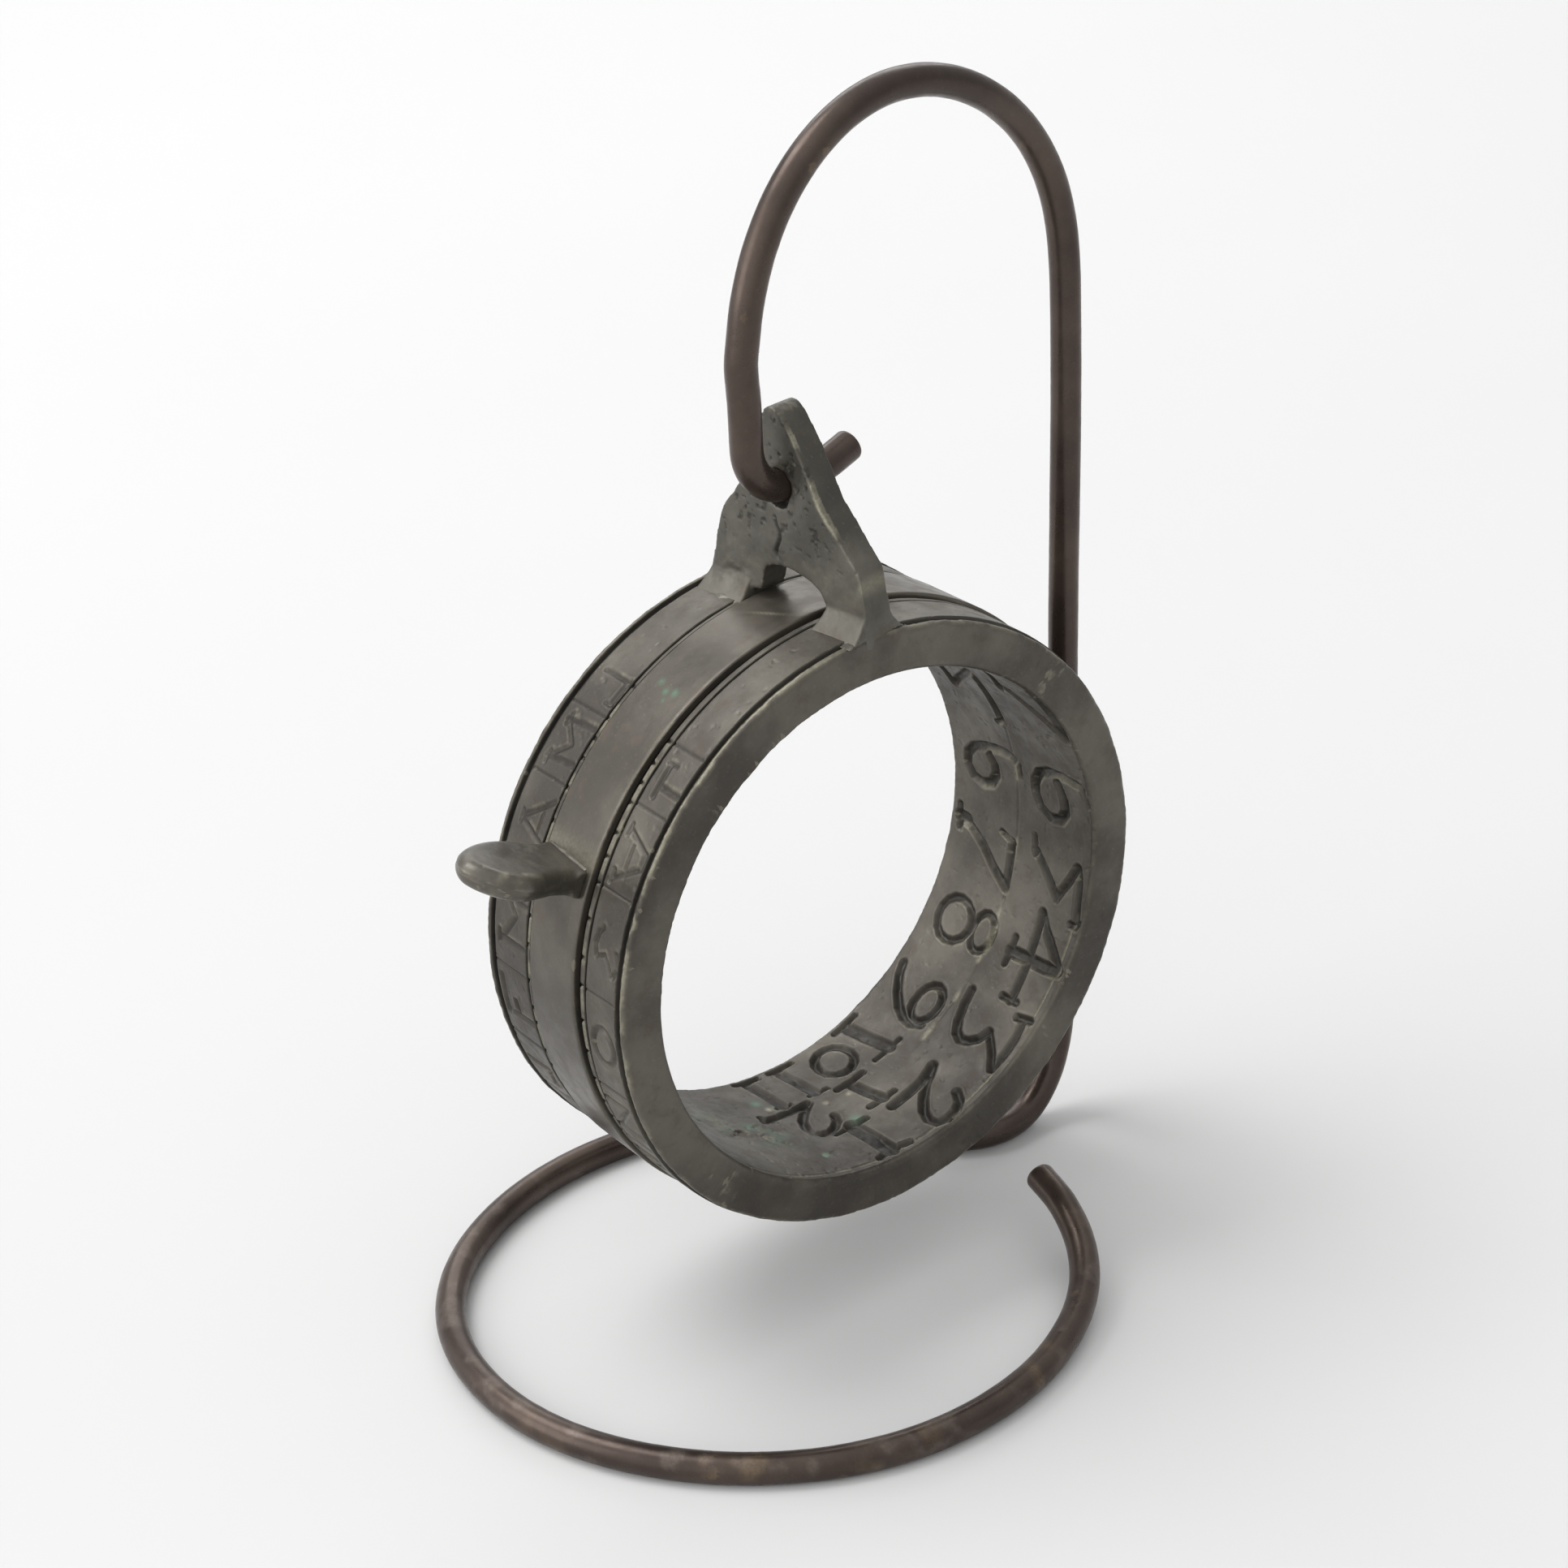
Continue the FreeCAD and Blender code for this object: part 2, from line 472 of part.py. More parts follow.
def make_foot_braze(across0, across1, z0, rise, spread, beyond_y, ring_blank, yoke):
    """A sloping collar of braze metal round a rectangular foot."""
    def section(gap, z):
        return loop_wire([
            hook_point(YOKE_FACES[0] - gap, across0 - gap, z),
            hook_point(YOKE_FACES[1] + gap, across0 - gap, z),
            hook_point(YOKE_FACES[1] + gap, across1 + gap, z),
            hook_point(YOKE_FACES[0] - gap, across1 + gap, z)])

    bead = Part.makeLoft([section(spread, z0), section(0.55 * spread, z0 + 0.75 * rise),
                          section(0.02, z0 + 1.25 * rise)], True, True)
    channel = collar((CHANNEL_Y[0] - 0.05, CHANNEL_Y[1] + 0.05), (20.0, 33.0))
    for tool in (ring_blank, yoke, channel, collar(beyond_y, BEYOND_R)):
        bead = bead.cut([tool])
    return one_solid(bead)


# ---------------------------------------------------------------- sliding band
def make_band():
    (front, back), (inner, outer) = BAND_Y, BAND_R
    band = one_solid(turned([
        (front, inner), (front, outer - BAND_CHAMFER), (front + BAND_CHAMFER, outer),
        (back - BAND_CHAMFER, outer), (back, outer - BAND_CHAMFER), (back, inner)]))
    for y in PINHOLE_Y:
        band = band.cut(radial_cylinder(PINHOLE_R, PINHOLE_ANGLE, y, 25.0, 5.0))
    return one_solid(band)


# ---------------------------------------------------------------- thumb tab
# (height above the band, distance behind the root's front end) round the tab's free edge
TAB_EDGE = [
    (4.4, -1.15), (6.7, -2.0), (8.7, -1.5), (10.4, -0.25), (11.45, 1.5), (10.7, 2.9),
    (9.5, 4.1), (7.9, 5.35), (6.2, 6.0), (4.65, 6.2)]
# (gap round the tab, height above the band) of the braze sections
TAB_BRAZE_SECTIONS = [(0.75, -0.5), (0.42, 0.30), (0.02, 0.95)]
TAB_BRAZE_MIN_VOLUME = 0.25

tab_radial, tab_tangent = ring_directions(TAB_ANGLE)
tab_twist = math.radians(TAB_TWIST)
TAB_BACKWARD = Vec(0, math.cos(tab_twist), 0) - tab_tangent * math.sin(tab_twist)
TAB_NORMAL = tab_tangent * math.cos(tab_twist) + Vec(0, math.sin(tab_twist), 0)


def tab_point(height, behind, offset=-TAB_THICK / 2):
    """Point above the band; offset is measured from the tab's middle plane."""
    return (tab_radial * (BAND_R[1] + height) + Vec(0, TAB_Y0 + TAB_MID, 0)
            + TAB_BACKWARD * (behind - TAB_MID) + TAB_NORMAL * offset)


def band_envelope():
    """Everything inside the band's outer surface."""
    return Part.makeCylinder(BAND_R[1], 40.0, Vec(0, -20, 0), RING_AXIS)


def make_tab():
    points = [tab_point(height, behind) for height, behind in TAB_EDGE]
    root_front = tab_point(-1.2, 0.05)
    root_back = tab_point(-1.2, 5.85)
    low_front = tab_point(1.2, -0.15)
    low_back = tab_point(1.2, 5.95)
    outline = Part.Wire([
        Part.makeLine(root_front, low_front), Part.makeLine(low_front, points[0]),
        spline_edge(points), Part.makeLine(points[-1], low_back),
        Part.makeLine(low_back, root_back), Part.makeLine(root_back, root_front)])
    tab = one_solid(Part.Face(outline).extrude(TAB_NORMAL * TAB_THICK))
    rim = [edge for edge in tab.Edges if edge.Length > 12.0]
    tab = soften(tab, rim, (0.7, 0.5, 0.3))
    return one_solid(tab.cut(band_envelope()))


def make_tab_braze(tab):
    """Sloping bead along both sides of the tab's root."""
    def section(gap, height):
        front = -0.05 - gap * 0.3
        back = 5.9 + gap * 0.3
        side = TAB_THICK / 2 + gap
        return loop_wire([tab_point(height, front, -side), tab_point(height, back, -side),
                          tab_point(height, back, side), tab_point(height, front, side)])

    bead = Part.makeLoft([section(*entry) for entry in TAB_BRAZE_SECTIONS], True, True)
    bead = bead.common(collar((BAND_Y[0] + 0.10, BAND_Y[1] - 0.10), (20.0, 40.0)))
    bead = bead.cut([band_envelope()])
    bead = bead.cut([tab])
    # Keep the pinholes clear.
    bead = bead.cut([radial_cylinder(PINHOLE_R + 0.02, PINHOLE_ANGLE, y, 27.0, 3.0)
                     for y in PINHOLE_Y])
    lumps = sorted(bead.Solids, key=lambda solid: -solid.Volume)
    lumps = [lump for lump in lumps if lump.Volume > TAB_BRAZE_MIN_VOLUME]
    return lumps[0] if len(lumps) == 1 else Part.makeCompound(lumps)


# ---------------------------------------------------------------- stand rod
# Centre line of the bent rod, in order from the loop's free end to the hook.
# (x, y, z) from the free end down to the ground
ROD_FREE_END = [
    (16.45, -10.30, -32.02), (15.71, -14.40, -32.75), (14.32, -18.21, -33.97),
    (11.95, -21.57, -34.95), (8.76, -24.31, -35.52), (5.09, -26.42, -35.81)]
ROD_FREE_DIRECTION = Vec(-0.12, -0.99, -0.04)
# (x, y) of the level stretch on the ground
ROD_LEVEL = [
    (1.15, -27.96), (-2.98, -28.93), (-7.21, -29.30), (-11.44, -29.05), (-15.59, -28.15),
    (-19.54, -26.61), (-23.23, -24.51), (-26.59, -21.92), (-29.57, -18.91), (-32.13, -15.52),
    (-34.20, -11.82), (-35.70, -7.85), (-36.56, -3.70), (-36.73, 0.54), (-36.22, 4.75),
    (-35.01, 8.81), (-33.06, 12.57), (-30.42, 15.89), (-27.23, 18.68), (-23.63, 20.93),
    (-19.74, 22.62), (-15.65, 23.73), (-11.44, 24.23), (-7.20, 24.12), (-3.01, 23.44),
    (1.04, 22.19), (4.86, 20.33), (8.27, 17.82), (11.12, 14.68), (13.52, 11.18),
    (15.79, 7.59), (18.37, 4.23), (22.11, 2.40)]
# (x, y, z) of the bend up from the ground
ROD_RISE = [
    (26.28, 2.70, -35.63), (29.51, 3.27, -33.03), (31.11, 3.55, -29.15), (31.51, 3.61, -24.93)]
# Ends of the straight upright
UPRIGHT_FOOT = Vec(31.68, 3.64, -20.68)
UPRIGHT_TOP = Vec(32.34, 3.75, 38.75)
# (x, y, z) over the top and down towards the hook
ROD_OVER = [
    (32.19, 3.74, 47.23), (31.69, 3.67, 51.45), (30.42, 3.50, 55.49), (28.30, 3.23, 59.14),
    (25.44, 2.85, 62.24), (22.02, 2.40, 64.71), (18.20, 1.90, 66.48), (14.11, 1.36, 67.45),
    (9.91, 0.80, 67.48), (5.84, 0.27, 66.46), (2.13, -0.22, 64.47), (-1.01, -0.63, 61.66),
    (-3.44, -0.95, 58.20), (-5.09, -1.17, 54.30), (-6.00, -1.29, 50.16)]
# Points of the loop the rod is drawn through; those between only steer its direction.
LOOP_STATIONS = [0, 2, 4] + list(range(6, 37, 3)) + [38, 39, 40, 41]


def rod_knots():
    """(point, unit direction) pairs the centre line passes through."""
    loop = [Vec(*point) for point in ROD_FREE_END]
    loop += [Vec(x, y, LOOP_Z) for x, y in ROD_LEVEL]
    loop += [Vec(*point) for point in ROD_RISE]
    level_start = len(ROD_FREE_END)
    level_end = level_start + len(ROD_LEVEL)

    knots = []
    for i in LOOP_STATIONS:
        direction = ROD_FREE_DIRECTION if i == 0 else loop[i + 1] - loop[i - 1]
        if level_start <= i < level_end:
            direction = Vec(direction.x, direction.y, 0)
        knots.append((loop[i], direction))

    upright = UPRIGHT_TOP - UPRIGHT_FOOT
    # The last upright neighbour of the foot is the rise; both ends share one direction.
    knots += [(UPRIGHT_FOOT, upright), (UPRIGHT_TOP, upright)]

    over = [Vec(*point) for point in ROD_OVER]
    knots += [(over[i], over[i + 1] - over[i - 1]) for i in range(1, len(over) - 1, 2)]

    # Hook: down, a quarter bend, straight through the eye, and the raised tip.
    knots += [
        (hook_point(HOOK_START, EYE_ACROSS, HOOK_START_Z), UP * -1.0),
        (hook_point(HOOK_START, EYE_ACROSS, EYE_Z + HOOK_BEND_R), UP * -1.0),
        (hook_point(HOOK_START + HOOK_BEND_R, EYE_ACROSS, EYE_Z), ALONG),
        (hook_point(HOOK_STRAIGHT_END, EYE_ACROSS, EYE_Z), ALONG),
        (hook_point(2.9, EYE_ACROSS, 38.45), ALONG * 0.962 + UP * 0.272),
        (hook_point(5.60, EYE_ACROSS, 39.24), ALONG * 0.956 + UP * 0.292)]
    return [(point, direction * (1.0 / direction.Length)) for point, direction in knots]


def rod_edge(start, direction, end):
    """Edge from start, setting out along direction, to end: a line or one true arc."""
    chord = end - start
    normal = direction.cross(chord)
    if normal.Length < 2e-3 * chord.Length:
        return Part.makeLine(start, end)
    normal.normalize()
    side = normal.cross(direction)
    radius = chord.Length ** 2 / (2.0 * chord.dot(side))
    centre = start + side * radius
    to_middle = (start - centre) + (end - centre)
    to_middle.normalize()
    return Part.Arc(start, centre + to_middle * abs(radius), end).toShape()


def rod_span(start, start_dir, end, end_dir):
    """A line, or two arcs that meet smoothly, between neighbouring knots."""
    bend = 2.0 * (1.0 - start_dir.dot(end_dir))
    if bend < 1e-7:
        return [Part.makeLine(start, end)]
    chord = end - start
    advance = chord.dot(start_dir + end_dir)
    reach = (-advance + math.sqrt(advance * advance + bend * chord.dot(chord))) / bend
    joint = (start + end + (start_dir - end_dir) * reach) * 0.5
    first = rod_edge(start, start_dir, joint)
    return [first, rod_edge(joint, first.tangentAt(first.LastParameter), end)]


def make_stand_rod():
    knots = rod_knots()
    edges = []
    for knot, following in zip(knots[:-1], knots[1:]):
        edges += rod_span(*knot, *following)
    profile = Part.Wire([Part.makeCircle(ROD_R, *knots[0])])
    rod = one_solid(Part.Wire(edges).makePipeShell([profile], True, False))
    ground = Part.makeBox(200, 200, 10.0, Vec(-100, -100, FLOOR_Z + GROUND_FLAT - 10.0))
    return one_solid(rod.cut(ground))


# ---------------------------------------------------------------- build and write
ring_blank = one_solid(turned(ring_outline(0.0)))     # the ring without grooves or engraving
yoke = make_yoke(ring_blank)
tab = make_tab()
PIECES = {
    "dial_ring": make_dial_ring(),
    "suspension_yoke": yoke,
    "braze_front_foot": make_foot_braze(-9.6, -5.42, 26.8, rise=0.95, spread=0.85,
                                        beyond_y=BEYOND_FRONT_Y, ring_blank=ring_blank,
                                        yoke=yoke),
    "braze_back_foot": make_foot_braze(3.2, 7.8, 26.9, rise=1.15, spread=1.05,
                                       beyond_y=BEYOND_BACK_Y, ring_blank=ring_blank,
                                       yoke=yoke),
    "slider_band": make_band(),
    "thumb_tab": tab,
    "braze_tab_root": make_tab_braze(tab),
    "stand_rod": make_stand_rod(),
}
for name, shape in PIECES.items():
    shape = shape.copy()
    shape.translate(SHIFT)
    shape.exportStep("parts/%s.step" % name)
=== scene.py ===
"""A bronze ring dial with a sliding band, hung by its yoke from a bent brass rod stand.

The ring's axis is Y, with its front mouth at -Y, and Z is up. Angles are degrees in the XZ plane,
from +X towards +Z. Shapes are worked out in millimetres about the ring's centre; frame_m moves
them into the frame, which is in metres with the floor at z = 0.
"""
import math

import bmesh
import bpy
import numpy as np
from mathutils import Matrix


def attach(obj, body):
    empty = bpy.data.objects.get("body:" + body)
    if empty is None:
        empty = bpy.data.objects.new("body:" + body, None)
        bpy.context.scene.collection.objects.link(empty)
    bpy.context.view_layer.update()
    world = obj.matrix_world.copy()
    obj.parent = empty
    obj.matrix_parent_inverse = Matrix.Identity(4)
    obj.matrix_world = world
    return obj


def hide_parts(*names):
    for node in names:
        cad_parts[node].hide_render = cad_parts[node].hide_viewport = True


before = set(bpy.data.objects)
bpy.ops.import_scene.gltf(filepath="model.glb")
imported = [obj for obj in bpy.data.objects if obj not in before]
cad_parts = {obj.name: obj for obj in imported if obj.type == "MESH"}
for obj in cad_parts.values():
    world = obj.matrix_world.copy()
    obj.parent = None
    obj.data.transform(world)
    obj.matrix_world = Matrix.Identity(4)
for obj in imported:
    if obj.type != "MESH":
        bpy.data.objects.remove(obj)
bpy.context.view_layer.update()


# ------------------------------------------------------------------ driving sizes (mm, degrees)
RING_CENTRE = np.array([2.1956, 2.5235, 37.26])     # in the frame

BORE_R = 23.22
FRONT_R = 27.42             # outside of the front flange
BACK_R = 27.62              # outside of the back flange
FLOOR_R = 26.95             # floor of the channel the band runs in
SLOT_ANGLES = (108.6, 222.4)
SLOT_Y = (-3.40, 1.90)
SLOT_CORNER_R = 1.6

BAND_IN_R, BAND_OUT_R = 27.00, 27.75
BAND_Y = (-3.85, 2.65)
PINHOLE_ANGLE = 158.1
PINHOLE_YS = (-3.05, 1.85)
PINHOLE_R = 0.65

TAB_ANGLE = 156.8
TAB_TWIST = 5.0
TAB_EDGE_Y = -3.40          # y of the root's front corner
TAB_MID = 2.95              # from that corner to the middle of the root
TAB_THICK = 2.56

YOKE_TURN = 7.5             # of the yoke's slab about Z
SLAB_T = (-2.80, 0.10)      # faces of the slab
EYE_S, EYE_Z = -0.496, 38.05

ROD_R = 1.36

# Approximate arc length of one degree, for the widths of small marks
BORE_MM_PER_DEG = 0.405
FLANGE_MM_PER_DEG = 0.48
BAND_MM_PER_DEG = 0.484

# The slab's own axes: t through its thickness (near +X), s along its width (near +Y), z up.
_turn = math.radians(YOKE_TURN)
SLAB_T_DIR = np.array([math.cos(_turn), math.sin(_turn), 0.0])
SLAB_S_DIR = np.array([-math.sin(_turn), math.cos(_turn), 0.0])
UP = np.array([0.0, 0.0, 1.0])

# ------------------------------------------------------------------ engraving tables
# Each figure is a list of strokes: (width in mm, path of (angle in degrees, y in mm)).
BORE_FIGURES = {
    "one_front": [
        (1.56, [(-88.2, -8.6), (-88.5, -6.1), (-89, -3.6)]),
        (0.6, [(-83.4, -8.94), (-87.7, -8.5)]),
        (0.6, [(-88.2, -8.5), (-92.2, -9.06)]),
        (0.6, [(-84.8, -3.4), (-93.9, -3.6)])],
    "twelve_2": [
        (0.8, [(-89.3, -1.1), (-90.3, -2), (-92.2, -2.7), (-94.3, -3.06), (-96.4, -2.94),
               (-97.6, -2.3), (-97.7, -1.4), (-96.5, -0.2), (-94, 0.9), (-91.1, 1.86)]),
        (0.84, [(-90.8, 2), (-96, 1.74), (-100.9, 1.54), (-104.1, 1.34)]),
        (0.6, [(-102.2, 0.86), (-104.1, 2)])],
    "eleven_a": [
        (1.1, [(-86.9, 3), (-87.4, 5.5), (-88.1, 7.8)]),
        (0.36, [(-83.9, 2.7), (-88.8, 2.86)]),
        (0.56, [(-83.7, 8.3), (-90.2, 8.3)])],
    "eleven_b": [
        (1.16, [(-96, 3), (-96.2, 5.3), (-96.9, 7.8)]),
        (0.32, [(-94, 2.8), (-97.9, 2.86)]),
        (0.56, [(-93.3, 8.26), (-99.7, 8.34)])],
    "twelve_1": [
        (1.12, [(-77.8, -2.3), (-78.8, -0.5), (-79.5, 1.5)]),
        (0.56, [(-74.7, -2.42), (-81.8, -2.42)]),
        (0.64, [(-75.2, 1.9), (-82.9, 1.8)])],
    "ten_0": [
        (0.76, [(-81.2, 5.3), (-80.8, 6.21), (-79.6, 6.94), (-77.8, 7.35), (-75.9, 7.35),
                (-74.1, 6.94), (-72.9, 6.21), (-72.5, 5.3), (-72.9, 4.39), (-74.1, 3.66),
                (-75.9, 3.25), (-77.8, 3.25), (-79.6, 3.66), (-80.8, 4.39), (-81.2, 5.3)])],
    "ten_1": [
        (1.2, [(-66.3, 2.2), (-67.2, 4.7), (-68, 7.9)]),
        (0.48, [(-63.4, 2.06), (-70.8, 2.14)]),
        (0.64, [(-64.4, 8.26), (-70.9, 8.2)])],
    "nine": [
        (0.76, [(-57.9, 2.4), (-57.4, 3.06), (-56, 3.59), (-54.1, 3.88), (-51.9, 3.88),
                (-50, 3.59), (-48.7, 3.06), (-48.2, 2.4), (-48.7, 1.74), (-50, 1.21),
                (-51.9, 0.92), (-54.1, 0.92), (-56, 1.21), (-57.4, 1.74), (-57.9, 2.4)]),
        (0.84, [(-57.9, 1.3), (-58.9, 2.3), (-58.6, 3.5), (-56.9, 4.9), (-53.9, 6.3),
                (-50.5, 7.34), (-47.7, 7.78)])],
    "two_front": [
        (0.84, [(-66.6, -7.5), (-68, -8.5), (-70.4, -9.14), (-73.2, -9.26), (-75.5, -8.8),
                (-76, -7.9), (-74.9, -6.7), (-72.2, -5.4), (-69, -4.3), (-65.3, -3.46)]),
        (0.96, [(-64.4, -3.14), (-68.7, -3.66), (-73.6, -3.8), (-78.3, -3.9)])],
    "three_front": [
        (0.72, [(-44.4, -9.06), (-45.1, -7.5)]),
        (0.72, [(-44.8, -8.34), (-49, -8.66), (-53.9, -8.74), (-58.1, -8.66)]),
        (0.72, [(-58.1, -8.66), (-54.9, -7.5), (-52.7, -6.5), (-51.2, -5.7)]),
        (0.84, [(-51.2, -5.7), (-53.7, -5.26), (-55.4, -4.4), (-56, -3.5), (-54.9, -2.6),
                (-52.2, -1.86), (-48.5, -1.34), (-45, -1.18)])],
    "four_front": [
        (0.92, [(-31.9, -9.34), (-28.2, -7.7), (-24.7, -6.1), (-22, -5.2)]),
        (0.84, [(-21.7, -5.2), (-26.7, -5.26), (-31.6, -5.4), (-37, -5.64), (-42.6, -5.8)]),
        (0.68, [(-42.4, -6.5), (-42.6, -4.7)]),
        (1.12, [(-31.9, -9.1), (-32.5, -7.5), (-32.8, -4.9), (-33, -3.1)]),
        (0.64, [(-29.7, -3.06), (-36.1, -3.06)])],
    "eight_up": [
        (0.68, [(-37.1, 0.94), (-36.7, 1.53), (-35.4, 2), (-33.6, 2.27), (-31.6, 2.27),
                (-29.8, 2), (-28.5, 1.53), (-28.1, 0.94), (-28.5, 0.35), (-29.8, -0.12),
                (-31.6, -0.39), (-33.6, -0.39), (-35.4, -0.12), (-36.7, 0.35), (-37.1, 0.94)])],
    "eight_low": [
        (0.76, [(-38.2, 4.8), (-37.7, 5.74), (-36.3, 6.49), (-34.2, 6.91), (-31.9, 6.91),
                (-29.9, 6.49), (-28.5, 5.74), (-28, 4.8), (-28.5, 3.86), (-29.9, 3.11),
                (-31.9, 2.69), (-34.2, 2.69), (-36.3, 3.11), (-37.7, 3.86), (-38.2, 4.8)])],
    "five_front": [
        (0.6, [(-20, -9.74), (-21.1, -8.74)]),
        (0.84, [(-20.8, -9.34), (-15.8, -8.9), (-10.9, -8.66), (-8.2, -8.34)]),
        (0.76, [(-8.2, -8.26), (-11.9, -7.5), (-14.8, -6.8), (-17.2, -6.3)]),
        (0.84, [(-17.2, -6.3), (-13.8, -4.9), (-10.9, -3.7), (-8.9, -2.74)]),
        (0.56, [(-5.7, -2.5), (-10, -2.74)])],
    "six_front": [
        (0.56, [(8.5, -9.6), (12.3, -9.02)]),
        (0.92, [(12.7, -9.06), (13.4, -6.9), (13, -4.9), (11.3, -3.5), (8.4, -2.7), (5.4, -2.6),
                (2.2, -3.2), (0.5, -4.5), (1.2, -5.8), (3.7, -6.5), (6.9, -6.4), (10.6, -5.86)])],
    "six_back": [
        (0.56, [(7.4, -0.66), (10.6, -0.5)]),
        (0.92, [(10.8, -0.5), (12.1, 0.7), (11.9, 2.3), (10.9, 4.1), (9.3, 5.7), (6.9, 6.7),
                (3.9, 6.9), (1.3, 6.1), (0.5, 4.9), (1.7, 3.6), (4.4, 2.86), (6.9, 2.94),
                (8.9, 3.54)])],
    "seven_back": [
        (0.56, [(-8.9, 1.86), (-10.3, 0.2)]),
        (0.8, [(-10.1, 0.4), (-15.3, 0.3), (-21, 0.1)]),
        (0.88, [(-20.8, 0.2), (-17.8, 2.3), (-14.3, 4.1), (-10.9, 6.5)]),
        (0.6, [(-7.5, 7.86), (-13, 7.62)]),
        (1.24, [(-10.5, 6.7), (-10.3, 7.74)])],
    "seven_front": [
        (0.92, [(45.7, -9.74), (41, -9.62), (36.1, -9.46), (31.2, -9.38), (27.1, -9.3)]),
        (1.04, [(27.2, -9.26), (31.2, -7.8), (35.1, -6.3), (39.8, -4.8)]),
        (0.8, [(46.2, -4.46), (42, -4.1), (38.3, -3.5)])],
    "five_back": [
        (0.52, [(22, -0.3), (21.3, 0.86)]),
        (0.88, [(21.6, 0.1), (27.2, 0.2), (33.1, 0.3), (39.1, 0.4)]),
        (0.8, [(39.1, 0.5), (35.1, 2.3), (31.7, 3.9), (28.5, 5.3)]),
        (0.88, [(28.7, 5.34), (32.2, 5.54), (35.4, 6)])],
}

# Month letters on the outsides of the two flanges.
FLANGE_LETTERS = {
    "june": [
        (0.42, [(123.6, 7.05), (123.7, 3.68)]),
        (0.58, [(123.7, 3.74), (128.6, 3.79)]),
        (0.32, [(128.7, 4.47), (128.6, 3.53)])],
    "may": [
        (0.58, [(134.1, 7.11), (133.6, 3.53)]),
        (0.58, [(141.3, 7.11), (140.7, 3.53)]),
        (0.47, [(134.4, 6.89), (137.8, 5), (141.2, 6.89)]),
        (0.37, [(132.9, 7), (135.1, 7.05)]),
        (0.37, [(140.3, 7.05), (142.5, 7)])],
    "april": [
        (0.47, [(147.6, 3.53), (152.7, 7)]),
        (0.47, [(152.7, 7), (155.5, 3.42)]),
        (0.32, [(150.3, 4.47), (154.8, 4.47)]),
        (0.37, [(151.5, 7.05), (153.7, 7)])],
    "july": [
        (0.53, [(132.1, -6.37), (138.2, -6.47)]),
        (0.63, [(136.2, -6.84), (136.4, -9.42)]),
        (0.32, [(132.1, -6.05), (132, -7.11)])],
    "august": [
        (0.53, [(144.7, -5.95), (147.3, -8.84)]),
        (0.58, [(147.3, -8.84), (149.8, -8.84)]),
        (0.53, [(149.8, -8.84), (153.5, -6)]),
        (0.32, [(146.9, -7.11), (151.9, -7.18)]),
        (0.37, [(143.8, -5.95), (145.8, -5.84)]),
        (0.37, [(152.1, -6), (154.4, -5.89)])],
    "september": [
        (0.53, [(161.9, -6.63), (163, -6.16), (165.1, -5.95), (167.2, -6.26)]),
        (0.32, [(167.2, -6.26), (166.2, -7.37), (168.1, -8.16), (169.5, -8.58)]),
        (0.53, [(169.4, -8.58), (167.6, -9.37), (165.1, -8.84)])],
    "october": [
        (0.58, [(187.4, -7.37), (187, -7.98), (186, -8.48), (184.6, -8.75), (183, -8.75),
                (181.5, -8.48), (180.5, -7.98), (180.1, -7.37), (180.5, -6.75), (181.5, -6.26),
                (183, -5.98), (184.6, -5.98), (186, -6.26), (187, -6.75), (187.4, -7.37)])],
    "november": [
        (0.58, [(196.7, -5.53), (196.6, -8.74)]),
        (0.47, [(196.7, -8.58), (203.5, -5.58)]),
        (0.63, [(203.6, -5.37), (203.5, -8.74)])],
    "december": [
        (0.63, [(210.1, -5.21), (210, -8.42)]),
        (0.58, [(210.1, -5.26), (213.4, -5.79), (214.5, -6.84), (213.4, -8), (210.1, -8.42)])],
    "march": [
        (0.58, [(166.8, 7.37), (167.1, 3.53)]),
        (0.53, [(167.1, 6.32), (169.7, 4.95), (174.7, 6.74)]),
        (0.63, [(175.1, 7.26), (175, 3.53)]),
        (0.42, [(173.9, 7.32), (176.2, 7.32)])],
    "february": [
        (0.63, [(182.9, 7.37), (190.5, 7.37)]),
        (0.53, [(190.1, 7.37), (189.9, 3.58)]),
        (0.58, [(187.1, 5.79), (189.8, 5.68)])],
    "january": [
        (0.63, [(202, 7.47), (201.6, 4.26)]),
        (0.58, [(201.6, 4.32), (206.5, 4.74)]),
        (0.37, [(206.5, 5.16), (206.4, 4.37)])],
}

# Angles of the lines between months, and of the notches on the channel's rims.
FRONT_DIVIDERS = [128.8, 140.6, 155.6, 174.4, 193.4, 206.8, 218.0]
BACK_DIVIDERS = [130.8, 144.3, 162.5, 180.2, 195.3, 210.0]
FRONT_TICKS = [128.9, 133.4, 137.2, 141.0, 146.6, 150.9, 155.6, 162.1, 169.2, 174.4,
               181.3, 187.6, 193.6, 199.1, 203.0, 206.8, 211.0, 214.6, 218.0]
BACK_TICKS = [123.8, 130.8, 134.8, 138.7, 144.3, 150.4, 156.4, 162.5, 167.8, 173.2, 180.2,
              185.7, 189.0, 195.3, 198.8, 204.0, 210.0]


# ------------------------------------------------------------------ curves and noise
def frame_m(points):
    return (np.asarray(points, float) + RING_CENTRE) / 1000.0


def smooth(x):
    x = np.clip(x, 0, 1)
    return x * x * (3 - 2 * x)


def rise(x, start, over):
    """0 before start, easing up to 1 over the given span."""
    return smooth((x - start) / over)


def fall(x, end, over):
    """1, easing down over the given span to 0 at end."""
    return smooth((end - x) / over)


def window(x, start, end, over, over_end=None):
    return rise(x, start, over) * fall(x, end, over_end or over)


def bump(offset, width):
    return np.exp(-(offset / width) ** 2)


